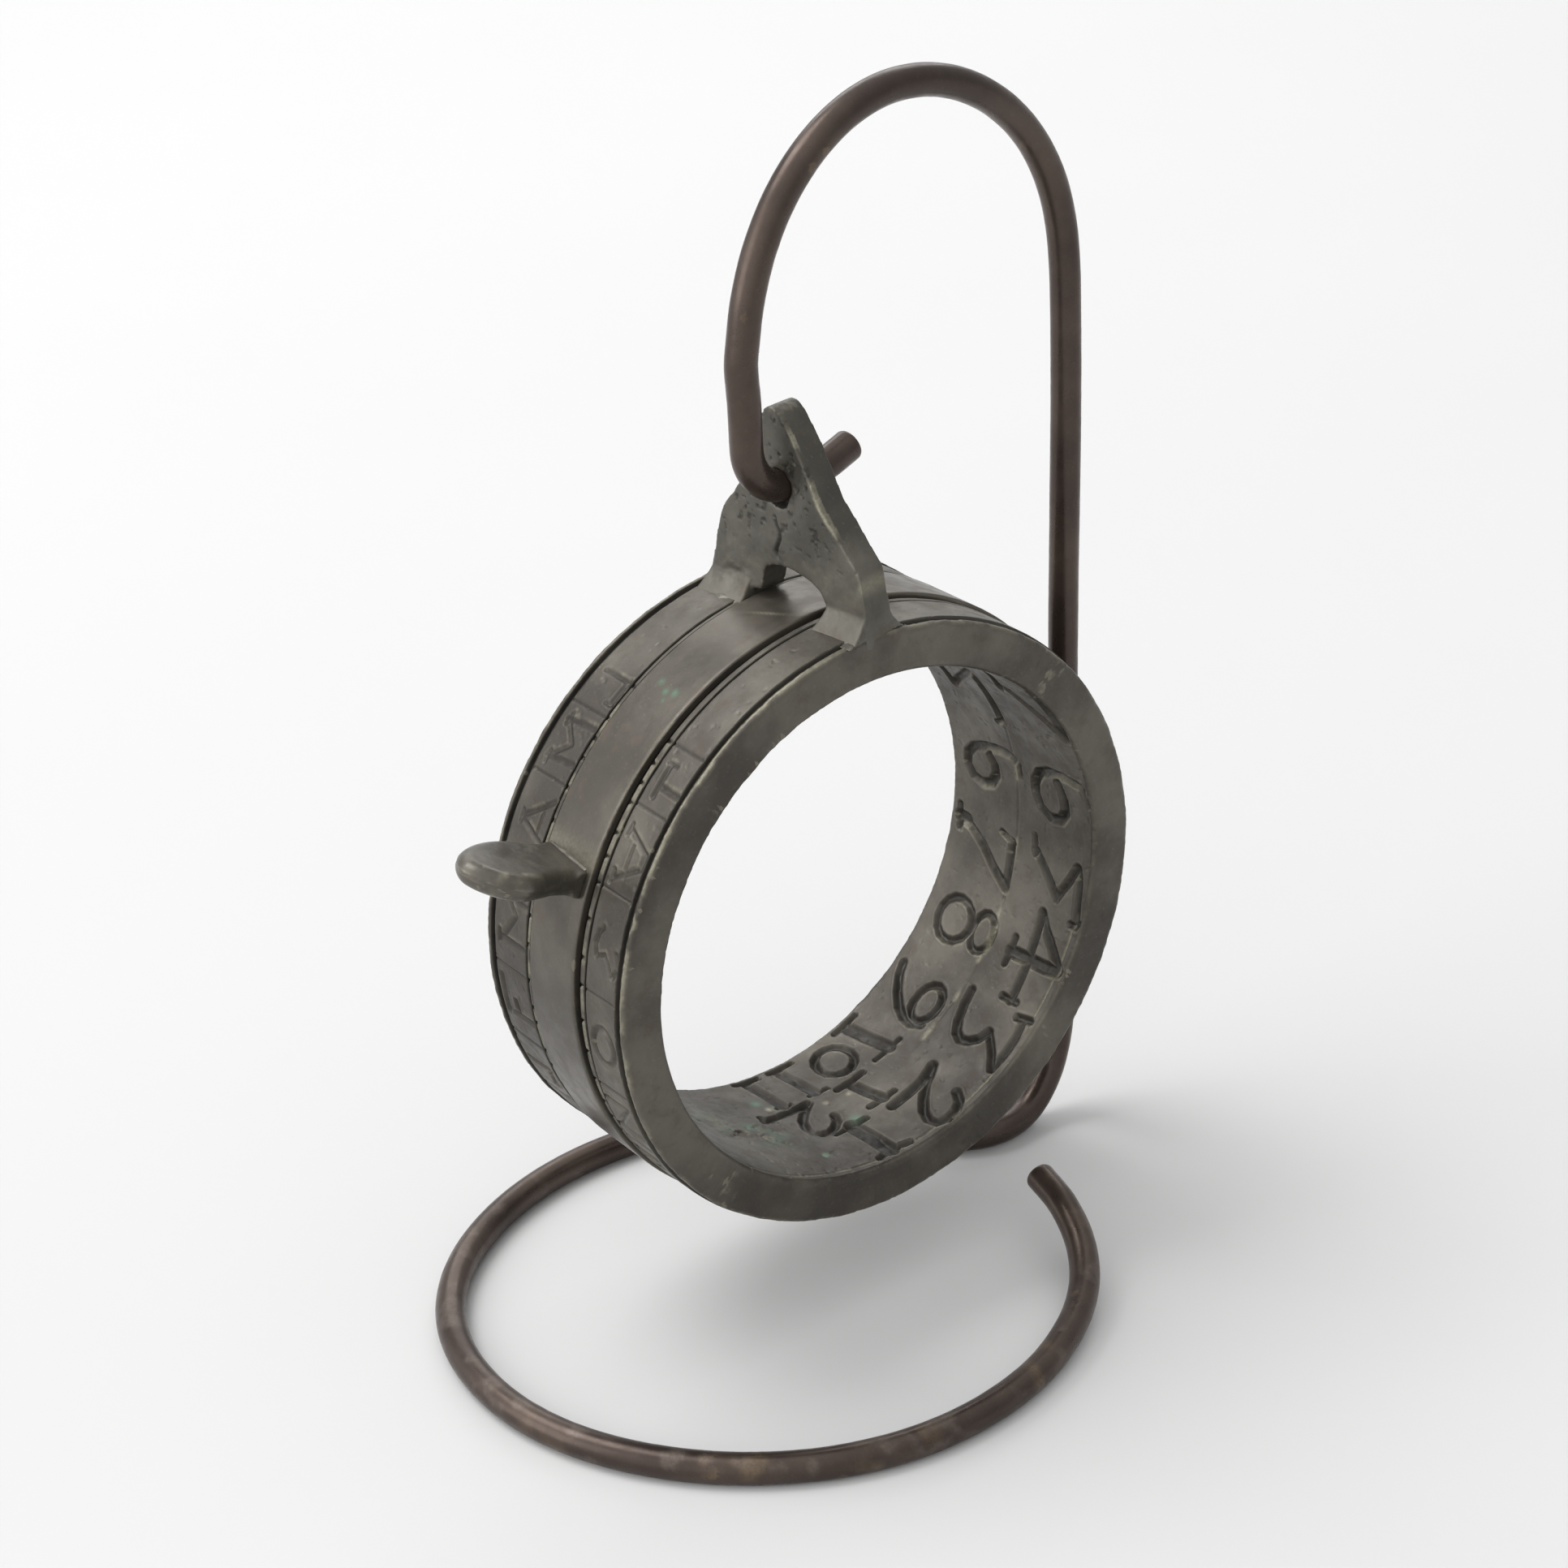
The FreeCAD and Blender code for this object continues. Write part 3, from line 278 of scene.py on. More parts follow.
def lattice(ix, iy, iz, seed):
    """Repeatable value 0..1 for each lattice point."""
    n = (ix * 73856093) ^ (iy * 19349663) ^ (iz * 83492791) ^ (seed * 374761393)
    n = n & 0xFFFFFFFF
    n = ((n ^ (n >> 13)) * 1274126177) & 0xFFFFFFFF
    n = n ^ (n >> 16)
    return (n & 0xFFFFFF) / float(0xFFFFFF)


def value_noise(points, freq, seed):
    """Smooth noise -1..1."""
    scaled = np.asarray(points, float) * freq + 137.3
    cell = np.floor(scaled).astype(np.int64)
    part = smooth(scaled - cell)
    total = 0.0
    for dx in (0, 1):
        for dy in (0, 1):
            for dz in (0, 1):
                weight = ((part[..., 0] if dx else 1 - part[..., 0]) *
                          (part[..., 1] if dy else 1 - part[..., 1]) *
                          (part[..., 2] if dz else 1 - part[..., 2]))
                total = total + weight * lattice(
                    cell[..., 0] + dx, cell[..., 1] + dy, cell[..., 2] + dz, seed)
    return total * 2 - 1


def fbm(points, freq, seed, octaves=3):
    """Noise summed over octaves, about -1..1."""
    weight, total, weights = 1.0, 0.0, 0.0
    for k in range(octaves):
        total = total + weight * value_noise(points, freq * 2 ** k, seed + 17 * k)
        weights += weight
        weight *= 0.5
    return total / weights


def mottle(points, freq, seed, start, over=1.0, octaves=3):
    """Patches 0..1 where the noise rises past start."""
    return rise(fbm(points, freq, seed, octaves), start, over)


def wave(angles, freq, seed):
    """Noise along the angle alone."""
    return value_noise(np.stack([angles * freq, angles * 0, angles * 0], -1), 1.0, seed)


def spots(angles, y, table, mm_per_deg):
    """Round spots 0..1 from rows of (angle, y, size in mm)."""
    total = np.zeros(angles.shape)
    for at_angle, at_y, size in table:
        spot = np.exp(-((((angles - at_angle) * mm_per_deg) / size) ** 2 +
                        ((y - at_y) / size) ** 2))
        total = np.maximum(total, spot)
    return total


def path_gap(u, v, path):
    """Distance from points (u, v) to a polyline, no more than 9."""
    gap = np.full(u.shape, 9.0)
    for (u0, v0), (u1, v1) in zip(path[:-1], path[1:]):
        du, dv = u1 - u0, v1 - v0
        along = np.clip(((u - u0) * du + (v - v0) * dv) / (du * du + dv * dv + 1e-12), 0, 1)
        gap = np.minimum(gap, np.hypot(u - u0 - along * du, v - v0 - along * dv))
    return gap


def stroke_field(angles, y, radius, table):
    """Depth 0..1, and distance outside the nearest stroke (mm), on a drum."""
    mm_per_deg = math.pi / 180.0 * radius
    depth = np.zeros(angles.shape)
    outside = np.full(angles.shape, 9.0)
    for strokes in table.values():
        points = np.array([point for _, path in strokes for point in path])
        (a_min, y_min), (a_max, y_max) = points.min(axis=0), points.max(axis=0)
        near = ((angles > a_min - 5) & (angles < a_max + 5) &
                (y > y_min - 1.6) & (y < y_max + 1.6))
        u, v = angles[near] * mm_per_deg, y[near]
        for width, path in strokes:
            excess = path_gap(u, v, [(a * mm_per_deg, b) for a, b in path]) - 0.60 * width
            outside[near] = np.minimum(outside[near], excess)
            # wider strokes have longer flanks and are cut deeper
            flank = min(0.46, 0.55 * width)
            full = min(1.0, 0.55 + 0.45 * width / 0.8)
            cut_in = smooth((-excess + 0.10) / (flank + 0.10)) * full
            depth[near] = np.maximum(depth[near], cut_in)
    return depth, outside


def seg(start, end, step):
    """Points from start up to, but not including, end."""
    n = max(1, int(round(math.hypot(end[0] - start[0], end[1] - start[1]) / step)))
    return [(start[0] + (end[0] - start[0]) * i / n, start[1] + (end[1] - start[1]) * i / n)
            for i in range(n)]


def catmull(points, per_span):
    p = np.asarray(points, float)
    ends = [p[0] * 2 - p[1]] + list(p) + [p[-1] * 2 - p[-2]]
    curve = []
    for a, b, c, d in zip(ends, ends[1:], ends[2:], ends[3:]):
        for k in range(per_span):
            t = k / per_span
            curve.append(0.5 * ((2 * b) + (c - a) * t + (2 * a - 5 * b + 4 * c - d) * t * t +
                                (-a + 3 * b - 3 * c + d) * t ** 3))
    curve.append(p[-1])
    return np.array(curve)


def hermite(start, start_dir, end, end_dir, n):
    """n points of a smooth curve, leaving out its start."""
    reach = np.linalg.norm(end - start)
    curve = []
    for k in range(1, n + 1):
        t = k / n
        curve.append((2 * t ** 3 - 3 * t ** 2 + 1) * start +
                     (t ** 3 - 2 * t ** 2 + t) * reach * start_dir +
                     (-2 * t ** 3 + 3 * t ** 2) * end + (t ** 3 - t ** 2) * reach * end_dir)
    return curve


def polar(radius, y, angle):
    """Points on drums about the ring's axis; angle in radians."""
    return np.stack([radius * np.cos(angle), y, radius * np.sin(angle)], -1)


def radial_axes(degrees):
    """Unit vectors outwards and round the ring at an angle."""
    a = math.radians(degrees)
    return (np.array([math.cos(a), 0, math.sin(a)]), np.array([-math.sin(a), 0, math.cos(a)]))


def slab_point(t, s, z):
    return SLAB_T_DIR * t + SLAB_S_DIR * s + UP * z


# ------------------------------------------------------------------ mesh helpers
MARKS = ("deep", "pale", "verd", "wear_and_glint")    # darkened and painted shade, pale deposit and painted highlight, verdigris, rubbed bright and painted glint


def new_mesh(name, verts, faces, marks=None, shade=True):
    """An object from points in mm; marks left out of the dict are zero."""
    me = bpy.data.meshes.new(name)
    me.from_pydata(frame_m(verts).tolist(), [], [list(map(int, f)) for f in faces])
    me.validate()
    if shade:
        me.polygons.foreach_set("use_smooth", np.ones(len(me.polygons), dtype=bool))
    if marks is not None:
        for key in MARKS:
            value = np.zeros(len(verts)) + np.ravel(marks.get(key, 0.0))
            layer = me.attributes.new(key, 'FLOAT', 'POINT')
            layer.data.foreach_set("value", value.astype(np.float32))
    me.update()
    obj = bpy.data.objects.new(name, me)
    bpy.context.scene.collection.objects.link(obj)
    return obj


def face_outwards(obj):
    bm = bmesh.new()
    bm.from_mesh(obj.data)
    bmesh.ops.recalc_face_normals(bm, faces=bm.faces)
    bm.to_mesh(obj.data)
    bm.free()


def vertices_mm(me):
    flat = np.empty(len(me.vertices) * 3)
    me.vertices.foreach_get("co", flat)
    return flat.reshape(-1, 3) * 1000.0 - RING_CENTRE


def organic(name, body, voxel, iters, push, marks):
    """Melts a rough closed body into one skin, softens it, then pushes it in and out."""
    rough = new_mesh(name + "_rough", *body, shade=False)
    remesh = rough.modifiers.new("r", 'REMESH')
    remesh.mode = 'VOXEL'
    remesh.voxel_size = voxel / 1000.0
    soften = rough.modifiers.new("s", 'SMOOTH')
    soften.factor = 0.5
    soften.iterations = iters
    evaluated = rough.evaluated_get(bpy.context.evaluated_depsgraph_get())
    me = evaluated.to_mesh()
    verts = vertices_mm(me)
    normals = np.empty(len(verts) * 3)
    me.vertex_normals.foreach_get("vector", normals)
    faces = [tuple(p.vertices) for p in me.polygons]
    evaluated.to_mesh_clear()
    rough_mesh = rough.data
    bpy.data.objects.remove(rough)
    bpy.data.meshes.remove(rough_mesh)
    verts = verts + normals.reshape(-1, 3) * push(verts)[:, None]
    return new_mesh(name, verts, faces, marks(verts))


def prism(loops, lift):
    """An outline, with any holes after it, filled and extruded by the vector lift."""
    bm = bmesh.new()
    edges = []
    for loop in loops:
        vs = [bm.verts.new(tuple(p)) for p in loop]
        for i in range(len(vs)):
            edges.append(bm.edges.new((vs[i], vs[(i + 1) % len(vs)])))
    bmesh.ops.triangle_fill(bm, use_beauty=True, use_dissolve=False, edges=edges)
    extruded = bmesh.ops.extrude_face_region(bm, geom=list(bm.faces))
    top = [g for g in extruded["geom"] if isinstance(g, bmesh.types.BMVert)]
    bmesh.ops.translate(bm, verts=top, vec=tuple(lift))
    bmesh.ops.recalc_face_normals(bm, faces=bm.faces)
    bm.verts.ensure_lookup_table()
    for i, v in enumerate(bm.verts):
        v.index = i
    verts = np.array([tuple(v.co) for v in bm.verts])
    faces = [tuple(v.index for v in f.verts) for f in bm.faces]
    bm.free()
    return verts, faces


def join(*bodies):
    verts, faces, count = [], [], 0
    for body_verts, body_faces in bodies:
        verts.append(body_verts)
        faces += [tuple(i + count for i in face) for face in body_faces]
        count += len(body_verts)
    return np.vstack(verts), faces


def tube_sides(rows, per_row, closed=False):
    """Quads between successive closed rows of vertices."""
    quads = []
    for i in range(rows if closed else rows - 1):
        a, b = i * per_row, (i + 1) % rows * per_row
        for j in range(per_row):
            k = (j + 1) % per_row
            quads.append((a + j, a + k, b + k, b + j))
    return quads


def tube_caps(rows, per_row):
    last = (rows - 1) * per_row
    return [tuple(range(per_row - 1, -1, -1)), tuple(range(last, last + per_row))]


def walk_loop(corners, per_side):
    """Points round a polygon, per_side to each side."""
    points = []
    for p, q in zip(corners, corners[1:] + corners[:1]):
        for w in range(per_side):
            points.append((p[0] + (q[0] - p[0]) * w / per_side,
                           p[1] + (q[1] - p[1]) * w / per_side))
    return points


# ------------------------------------------------------------------ ring: profile and grid
# Corners of the section: (y, radius, point spacing on the way there, zone). It starts and
# ends at the last corner, runs back along the bore and returns over the outside.
RING_STATIONS = [
    (SLOT_Y[0], BORE_R, 0.13, 'bore'),
    (SLOT_Y[1], BORE_R, 0.13, 'slot_bore'),
    (8.78, BORE_R, 0.13, 'bore'),
    (8.98, 23.30, 0.10, 'edge'),
    (9.10, 23.52, 0.12, 'edge'),
    (9.12, 27.40, 0.35, 'backface'),
    (9.04, 27.62, 0.12, 'edge'),
    (8.92, 27.72, 0.08, 'edge'),
    (8.64, 27.70, 0.09, 'backlip'),
    (8.52, 27.22, 0.12, 'groove'),
    (8.16, 27.18, 0.12, 'groove'),
    (8.04, 27.60, 0.12, 'groove'),
    (3.38, BACK_R, 0.125, 'back_strip'),
    (3.28, 27.24, 0.12, 'groove'),
    (3.14, 27.24, 0.07, 'groove'),
    (3.07, BACK_R - 0.02, 0.12, 'groove'),
    (2.80, BACK_R - 0.03, 0.07, 'back_rim'),
    (2.75, BACK_R - 0.14, 0.06, 'back_rim'),
    (2.75, FLOOR_R, 0.20, 'wall'),
    (SLOT_Y[1], FLOOR_R, 0.30, 'floor'),
    (SLOT_Y[0], FLOOR_R, 0.13, 'slot_floor'),
    (-4.30, FLOOR_R, 0.30, 'floor'),
    (-4.30, FRONT_R - 0.14, 0.20, 'wall'),
    (-4.37, FRONT_R - 0.03, 0.06, 'front_rim'),
    (-4.90, FRONT_R - 0.02, 0.08, 'front_rim'),
    (-5.00, 27.06, 0.12, 'groove'),
    (-5.14, 27.06, 0.07, 'groove'),
    (-5.24, FRONT_R, 0.12, 'groove'),
    (-9.22, FRONT_R - 0.03, 0.125, 'front_strip'),
    (-9.34, 26.92, 0.12, 'groove'),
    (-9.54, 26.90, 0.10, 'groove'),
    (-9.66, 27.18, 0.10, 'groove'),
    (-9.92, 27.20, 0.09, 'frontlip'),
    (-10.08, 27.10, 0.08, 'edge'),
    (-10.19, 26.86, 0.10, 'edge'),
    (-10.20, 23.72, 0.28, 'face'),
    (-10.10, 23.46, 0.10, 'edge'),
    (-9.80, 23.25, 0.12, 'edge'),
]
RING_COLUMNS = 1440
RING_SEAM = -125.0          # where nothing is cut

profile, zones = [], []
corner = RING_STATIONS[-1][:2]
for y, radius, step, zone_name in RING_STATIONS:
    points = seg(corner, (y, radius), step)
    profile += points
    zones += [zone_name] * len(points)
    corner = (y, radius)
profile = np.array(profile)
zones = np.array(zones)


def zone(*names):
    return np.isin(zones, names)


def zone_span(name):
    """Index of a zone's first point, and of the one after its last."""
    inside = np.where(zones == name)[0]
    return int(inside[0]), int(inside[-1]) + 1


column_angles = np.arange(RING_COLUMNS) * 360.0 / RING_COLUMNS + RING_SEAM
SLOT_FROM, SLOT_TO = [int(round((a - RING_SEAM) * RING_COLUMNS / 360.0)) for a in SLOT_ANGLES]
ring_angle = np.repeat(column_angles[:, None], len(profile), 1)
ring_y, ring_r = [np.tile(profile[:, k], (RING_COLUMNS, 1)) for k in (0, 1)]

bore = zone('bore', 'slot_bore')
floor_zone = zone('floor', 'slot_floor')

# Round the slot's corners by leading the columns round them.
off_middle = np.abs(profile[:, 0] - 0.5 * sum(SLOT_Y))
half_slot = 0.5 * (SLOT_Y[1] - SLOT_Y[0])
into_corner = np.clip(off_middle - (half_slot - SLOT_CORNER_R), 0, SLOT_CORNER_R)
corner_sag = SLOT_CORNER_R - np.sqrt(np.clip(SLOT_CORNER_R ** 2 - into_corner ** 2, 0, None))
lead = corner_sag / 25.0 * 57.3     # degrees at a mid-wall radius of 25
lead = lead * smooth(1.0 - (off_middle - half_slot) / 1.4) * (bore | floor_zone)
for column, way in ((SLOT_FROM, 1), (SLOT_TO, -1)):
    near_end = smooth(1 - np.abs(column_angles - column_angles[column]) / 9.0)
    ring_angle = ring_angle + way * near_end[:, None] * lead[None, :]

# Section normals (y, r), pointing out of the metal
along = np.roll(profile, -1, 0) - np.roll(profile, 1, 0)
section_normal = np.stack([along[:, 1], -along[:, 0]], 1)
section_normal /= np.linalg.norm(section_normal, axis=1)[:, None] + 1e-9

ring_rad = np.radians(ring_angle)
ring_points = polar(ring_r, ring_y, ring_rad)
coarse = fbm(ring_points, freq=0.13, seed=3)
medium = fbm(ring_points, freq=0.7, seed=5)
fine = fbm(ring_points, freq=2.6, seed=9)

# Depth cut away in mm, and the four marks
cut, deep, pale, verd, wear_and_glint = [np.zeros(ring_y.shape) for _ in range(5)]


def raise_to(channel, where, value):
    channel[:, where] = np.maximum(channel[:, where], value)


# ------------------------------------------------------------------ ring: engraving
def engrave(where, table, radius, depth, floor, burr, dark, highlight_shift, stain_and_highlight, strength):
    """Cuts strokes with a raised burr, and a painted highlight beside each.

    floor is (mean, unevenness, least, most) of the depth; slip is the (angle, y) shift that
    places the painted highlight, in patches, on the lit side of each stroke."""
    angles, y = ring_angle[:, where], ring_y[:, where]
    stroke, outside = stroke_field(angles, y, radius, table)
    mean, uneven, least, most = floor
    cut[:, where] += stroke * depth * np.clip(mean + uneven * medium[:, where], least, most)
    cut[:, where] -= bump(outside - 0.10, 0.12) * burr
    raise_to(deep, where, stroke * dark)
    # painted highlight: pale on the side of each stroke that faces the light, in patches
    lit_side, _ = stroke_field(angles + highlight_shift[0], y + highlight_shift[1], radius, table)
    raise_to(pale, where, np.clip(lit_side - stroke, 0, 1) * stain_and_highlight * strength)


def cross_line(where, at_angle, width, depth, dark, wander=0.0):
    """A straight cut parallel to the ring's axis."""
    offset = ring_angle[:, where] - at_angle + wander * coarse[:, where]
    line = bump(offset * FLANGE_MM_PER_DEG, width)
    cut[:, where] += depth * line
    raise_to(deep, where, dark * line)


bore_angle, bore_y = ring_angle[:, bore], ring_y[:, bore]
bore_points, bore_medium = ring_points[:, bore], medium[:, bore]
bore_turn = np.mod(bore_angle, 360.0)


def scribe(line_y, reach, width, depth, stain_width, stain_and_highlight):
    """A fine line round the bore, with pale deposit in it."""
    offset = bore_y - line_y
    cut[:, bore] += depth * bump(offset, width) * reach
    raise_to(pale, bore, bump(offset, stain_width) * reach * stain_and_highlight)


# hour figures, their painted highlight strongest near -75 degrees
engrave(bore, BORE_FIGURES, BORE_R, depth=0.60, floor=(0.75, 0.35, 0.4, 1.1), burr=0.035,
        dark=1.0, highlight_shift=(0.45, 0.20), strength=0.95,
        stain_and_highlight=rise(bore_medium + 0.25 * bump(bore_angle + 75, 45.0), start=-0.15, over=0.4))
# line between the two rows of figures
scribe(-0.05 + 0.12 * wave(bore_angle, freq=0.12, seed=4),
       reach=window(bore_angle, start=-66, end=26, over=4), width=0.10, depth=0.07,
       stain_width=0.22,
       stain_and_highlight=mottle(bore_points, freq=0.45, seed=21, start=-0.15, over=0.35, octaves=2))
# line near the front mouth
scribe(-9.15 + 0.10 * wave(bore_angle, freq=0.1, seed=14),
       reach=window(bore_turn, start=205, end=345, over=8), width=0.08, depth=0.10,
       stain_width=0.09, stain_and_highlight=rise(bore_medium, start=-0.45, over=0.5) * 0.95)

# Pitted verdigris patch low on the -X side of the bore
PATCH_ANGLE, PATCH_Y, PATCH_LEAN = -114, 0.2, -0.12
PATCH_SIZE = (9.0, 2.6)     # degrees, mm
from_patch = bore_angle - PATCH_ANGLE
patch = np.exp(-((from_patch / PATCH_SIZE[0]) ** 2 +
                 ((bore_y - PATCH_Y - from_patch * PATCH_LEAN) / PATCH_SIZE[1]) ** 2))
cut[:, bore] += 0.22 * patch * mottle(bore_points, freq=1.1, seed=31, start=0.05, over=0.35)
raise_to(verd, bore, patch * mottle(bore_points, freq=0.8, seed=33, start=-0.1, over=0.4) * 0.9)
raise_to(pale, bore,
         0.55 * patch * mottle(bore_points, freq=1.3, seed=35, start=0.05, over=0.25))

# Single spots in the bore: (angle, y, size)
VERDIGRIS_SPOTS = [(-101.3, -6.1, 0.35), (-109.5, 0.6, 0.7), (-100.8, 4.5, 0.5),
                   (-86.5, -2.7, 0.5), (-97.8, 3.2, 0.3)]
BRIGHT_SPOTS = [(-101.5, -6.1, 0.28), (-82.0, 0.6, 0.26), (-87.8, 1.0, 0.26), (-99.8, 3.1, 0.3)]
raise_to(verd, bore, spots(bore_angle, bore_y, VERDIGRIS_SPOTS, BORE_MM_PER_DEG) * 0.9)
raise_to(wear_and_glint, bore, spots(bore_angle, bore_y, BRIGHT_SPOTS, BORE_MM_PER_DEG))

for strip, dividers in ((zone('front_strip'), FRONT_DIVIDERS), (zone('back_strip'), BACK_DIVIDERS)):
    # the month letters get the same painted highlight beside their strokes
    engrave(strip, FLANGE_LETTERS, radius=27.5, depth=0.30, floor=(0.8, 0.5, 0.3, 1.2),
            burr=0.03, dark=0.75, highlight_shift=(0.7, 0.12), strength=0.5,
            stain_and_highlight=rise(medium[:, strip], start=-0.25, over=0.5))
    for at_angle in dividers:
        cross_line(strip, at_angle, width=0.11, depth=0.17, dark=0.7, wander=0.25)
for rim, ticks in ((zone('front_rim'), FRONT_TICKS), (zone('back_rim'), BACK_TICKS)):
    for at_angle in ticks:
        cross_line(rim, at_angle, width=0.13, depth=0.26, dark=0.8)
    raise_to(pale, rim, 0.55 * rise(medium[:, rim], start=-0.1, over=0.4) *
             window(ring_angle[:, rim], start=124, end=212, over=6))
deep[:, zone('groove')] = 0.75
# painted shade: the walls and floor of the band's channel are darkened, as shade in the gap beside
# and under the band
deep[:, zone('wall')] = 0.9
deep[:, floor_zone] = 0.6

# ------------------------------------------------------------------ ring: surface and wear
# Unevenness of a hand-finished casting, in mm
strips = zone('front_strip', 'back_strip')
swell = np.where(bore, 0.035, np.where(strips, 0.045, 0.03))
uneven = swell[None, :] * (0.9 * coarse + 0.5 * medium) + 0.010 * fine
lips = zone('edge', 'frontlip', 'backlip')
uneven = uneven + lips[None, :] * (0.06 * medium + 0.03 * fine)
pits = (mottle(ring_points, freq=1.9, seed=41, start=0.42, over=0.2, octaves=2) * 0.05 *
        (strips | bore | zone('face'))[None, :])
total_cut = cut + uneven + pits
cut_y = ring_y - total_cut * section_normal[None, :, 0]
cut_r = ring_r - total_cut * section_normal[None, :, 1]
# keep the running surfaces clear of the band
cut_r[:, floor_zone] = np.minimum(cut_r[:, floor_zone], FLOOR_R)
walls = zone('wall')
cut_y[:, walls] = ring_y[:, walls]

# rubbed edges: strong on the outer corners, faint on the bore's
outer_share = np.where(ring_r[:, lips] > 26.5, 1.0, 0.22)
lip_y = ring_y[:, lips]
lip_line = np.where(lip_y < 0, bump(lip_y + 9.98, 0.13), bump(lip_y - 8.96, 0.13))
raise_to(wear_and_glint, lips,
         outer_share * lip_line * rise(medium[:, lips], start=-0.30, over=0.5) * 0.8)
front_lip, back_lip = zone('frontlip'), zone('backlip')
lip_turn = np.mod(ring_angle[:, front_lip], 360.0)
raise_to(wear_and_glint, front_lip, window(lip_turn, start=88, end=235, over=6, over_end=60) *
         rise(medium[:, front_lip] + 0.25 * fall(lip_turn, 150, 20), start=-0.42, over=0.4))
raise_to(wear_and_glint, back_lip, 0.5 * rise(medium[:, back_lip], start=0.05, over=0.4))

# ------------------------------------------------------------------ ring: mesh
BORE_FROM, BORE_TO = zone_span('slot_bore')
FLOOR_FROM, FLOOR_TO = zone_span('slot_floor')
index = np.arange(ring_y.size).reshape(ring_y.shape)
ring_faces = []
for j in range(len(profile)):
    j_next = (j + 1) % len(profile)
    in_slot = BORE_FROM <= j < BORE_TO or FLOOR_FROM <= j < FLOOR_TO
    for i in range(RING_COLUMNS):
        if in_slot and SLOT_FROM <= i < SLOT_TO:
            continue
        i_next = (i + 1) % RING_COLUMNS
        ring_faces.append((index[i, j], index[i, j_next], index[i_next, j_next],
                           index[i_next, j]))
# the slot's long sides
for i in range(SLOT_FROM, SLOT_TO):
    ring_faces.append((index[i, BORE_TO], index[i, FLOOR_FROM],
                       index[i + 1, FLOOR_FROM], index[i + 1, BORE_TO]))
    ring_faces.append((index[i, BORE_FROM], index[i + 1, BORE_FROM],
                       index[i + 1, FLOOR_TO], index[i, FLOOR_TO]))
# the slot's ends
for k in range(BORE_TO - BORE_FROM):
    inside, outside = BORE_FROM + k, FLOOR_TO - k
    i = SLOT_FROM
    ring_faces.append((index[i, inside], index[i, outside],
                       index[i, outside - 1], index[i, inside + 1]))
    i = SLOT_TO
    ring_faces.append((index[i, inside], index[i, inside + 1],
                       index[i, outside - 1], index[i, outside]))

ring = new_mesh("ring_body", polar(cut_r, cut_y, ring_rad).reshape(-1, 3), ring_faces,
                {"deep": deep, "pale": pale, "verd": verd, "wear_and_glint": wear_and_glint})
face_outwards(ring)

# ------------------------------------------------------------------ band
BAND_COLUMNS = 900
# Rounding of the outer corners: (in from the side, in from the outside)
BAND_CORNER = [(0.02, 0.09), (0.07, 0.03), (0.16, 0)]
BAND_SPOTS = [(121.4, -1.6, 0.35), (122.0, -0.6, 0.3), (120.8, 0.6, 0.3), (123.6, -1.1, 0.18)]


def band_profile():
    """Section (y, radius), along the inside to the back and home over the outside."""
    front, back = BAND_Y
    points = seg((front, BAND_IN_R), (back, BAND_IN_R), 0.5)
    points += seg((back, BAND_IN_R), (back, BAND_OUT_R - 0.16), 0.15)
    points += [(back - a, BAND_OUT_R - b) for a, b in BAND_CORNER]
    points += seg((back - 0.2, BAND_OUT_R), (front + 0.2, BAND_OUT_R), 0.25)
    points += [(front + a, BAND_OUT_R - b) for a, b in reversed(BAND_CORNER)]
    points += seg((front, BAND_OUT_R - 0.16), (front, BAND_IN_R), 0.15)
    return np.array(points)


def make_band():
    section = band_profile()
    side_y = section[None, :, 0]
    outer = (section[:, 1] > 27.3)[None, :]
    y, radius = [np.tile(section[:, k], (BAND_COLUMNS, 1)) for k in (0, 1)]
    angle = np.radians(np.arange(BAND_COLUMNS) * 360.0 / BAND_COLUMNS)
    angle = np.repeat(angle[:, None], len(section), 1)
    degrees = np.degrees(angle)
    points = polar(radius, y, angle)

    swell = (fbm(points, freq=0.16, seed=51) * 0.035 +
             fbm(points, freq=1.3, seed=53, octaves=2) * 0.008)
    wobble = 0.05 * wave(degrees, freq=0.05, seed=61)
    worn_r = radius + np.where(outer, swell - 0.02, 0)
    worn_y = (y + np.where(side_y < -3.5, wobble, 0) +
              np.where(side_y > 2.4, -np.abs(wobble), 0))

    # painted glint: the band's outer front corner is painted bright between 120 and 158 degrees,
    # where light catches that edge
    front_corner = (np.abs(side_y + 3.79) < 0.05) & outer
    rubbed_and_glint = (window(degrees, start=120, end=158, over=8) * 0.5 *
              mottle(points, freq=0.9, seed=58, start=-0.3, over=0.4, octaves=2))
    edges = (np.where(outer & (np.abs(side_y) > 2.4), 0.10, 0) *
             mottle(points, freq=0.6, seed=57, start=-0.4, octaves=2))
    # a slanting scratch near the top, and rubbing near the tab's root
    scratch = bump((degrees - 99.5) - (y + 0.5) * 1.2, 0.35) * bump(y + 1.0, 1.6)
    band = new_mesh("sliding_band", polar(worn_r, worn_y, angle).reshape(-1, 3),
                    tube_sides(BAND_COLUMNS, len(section), closed=True), {
                        "pale": 0.7 * scratch * outer + 0.35 * bump(degrees - 153.0, 2.2) * outer,
                        "verd": 0.8 * spots(degrees, y, BAND_SPOTS, BAND_MM_PER_DEG),
                        "wear_and_glint": np.maximum(np.where(front_corner, rubbed_and_glint, 0.0), edges)})
    face_outwards(band)
    return band


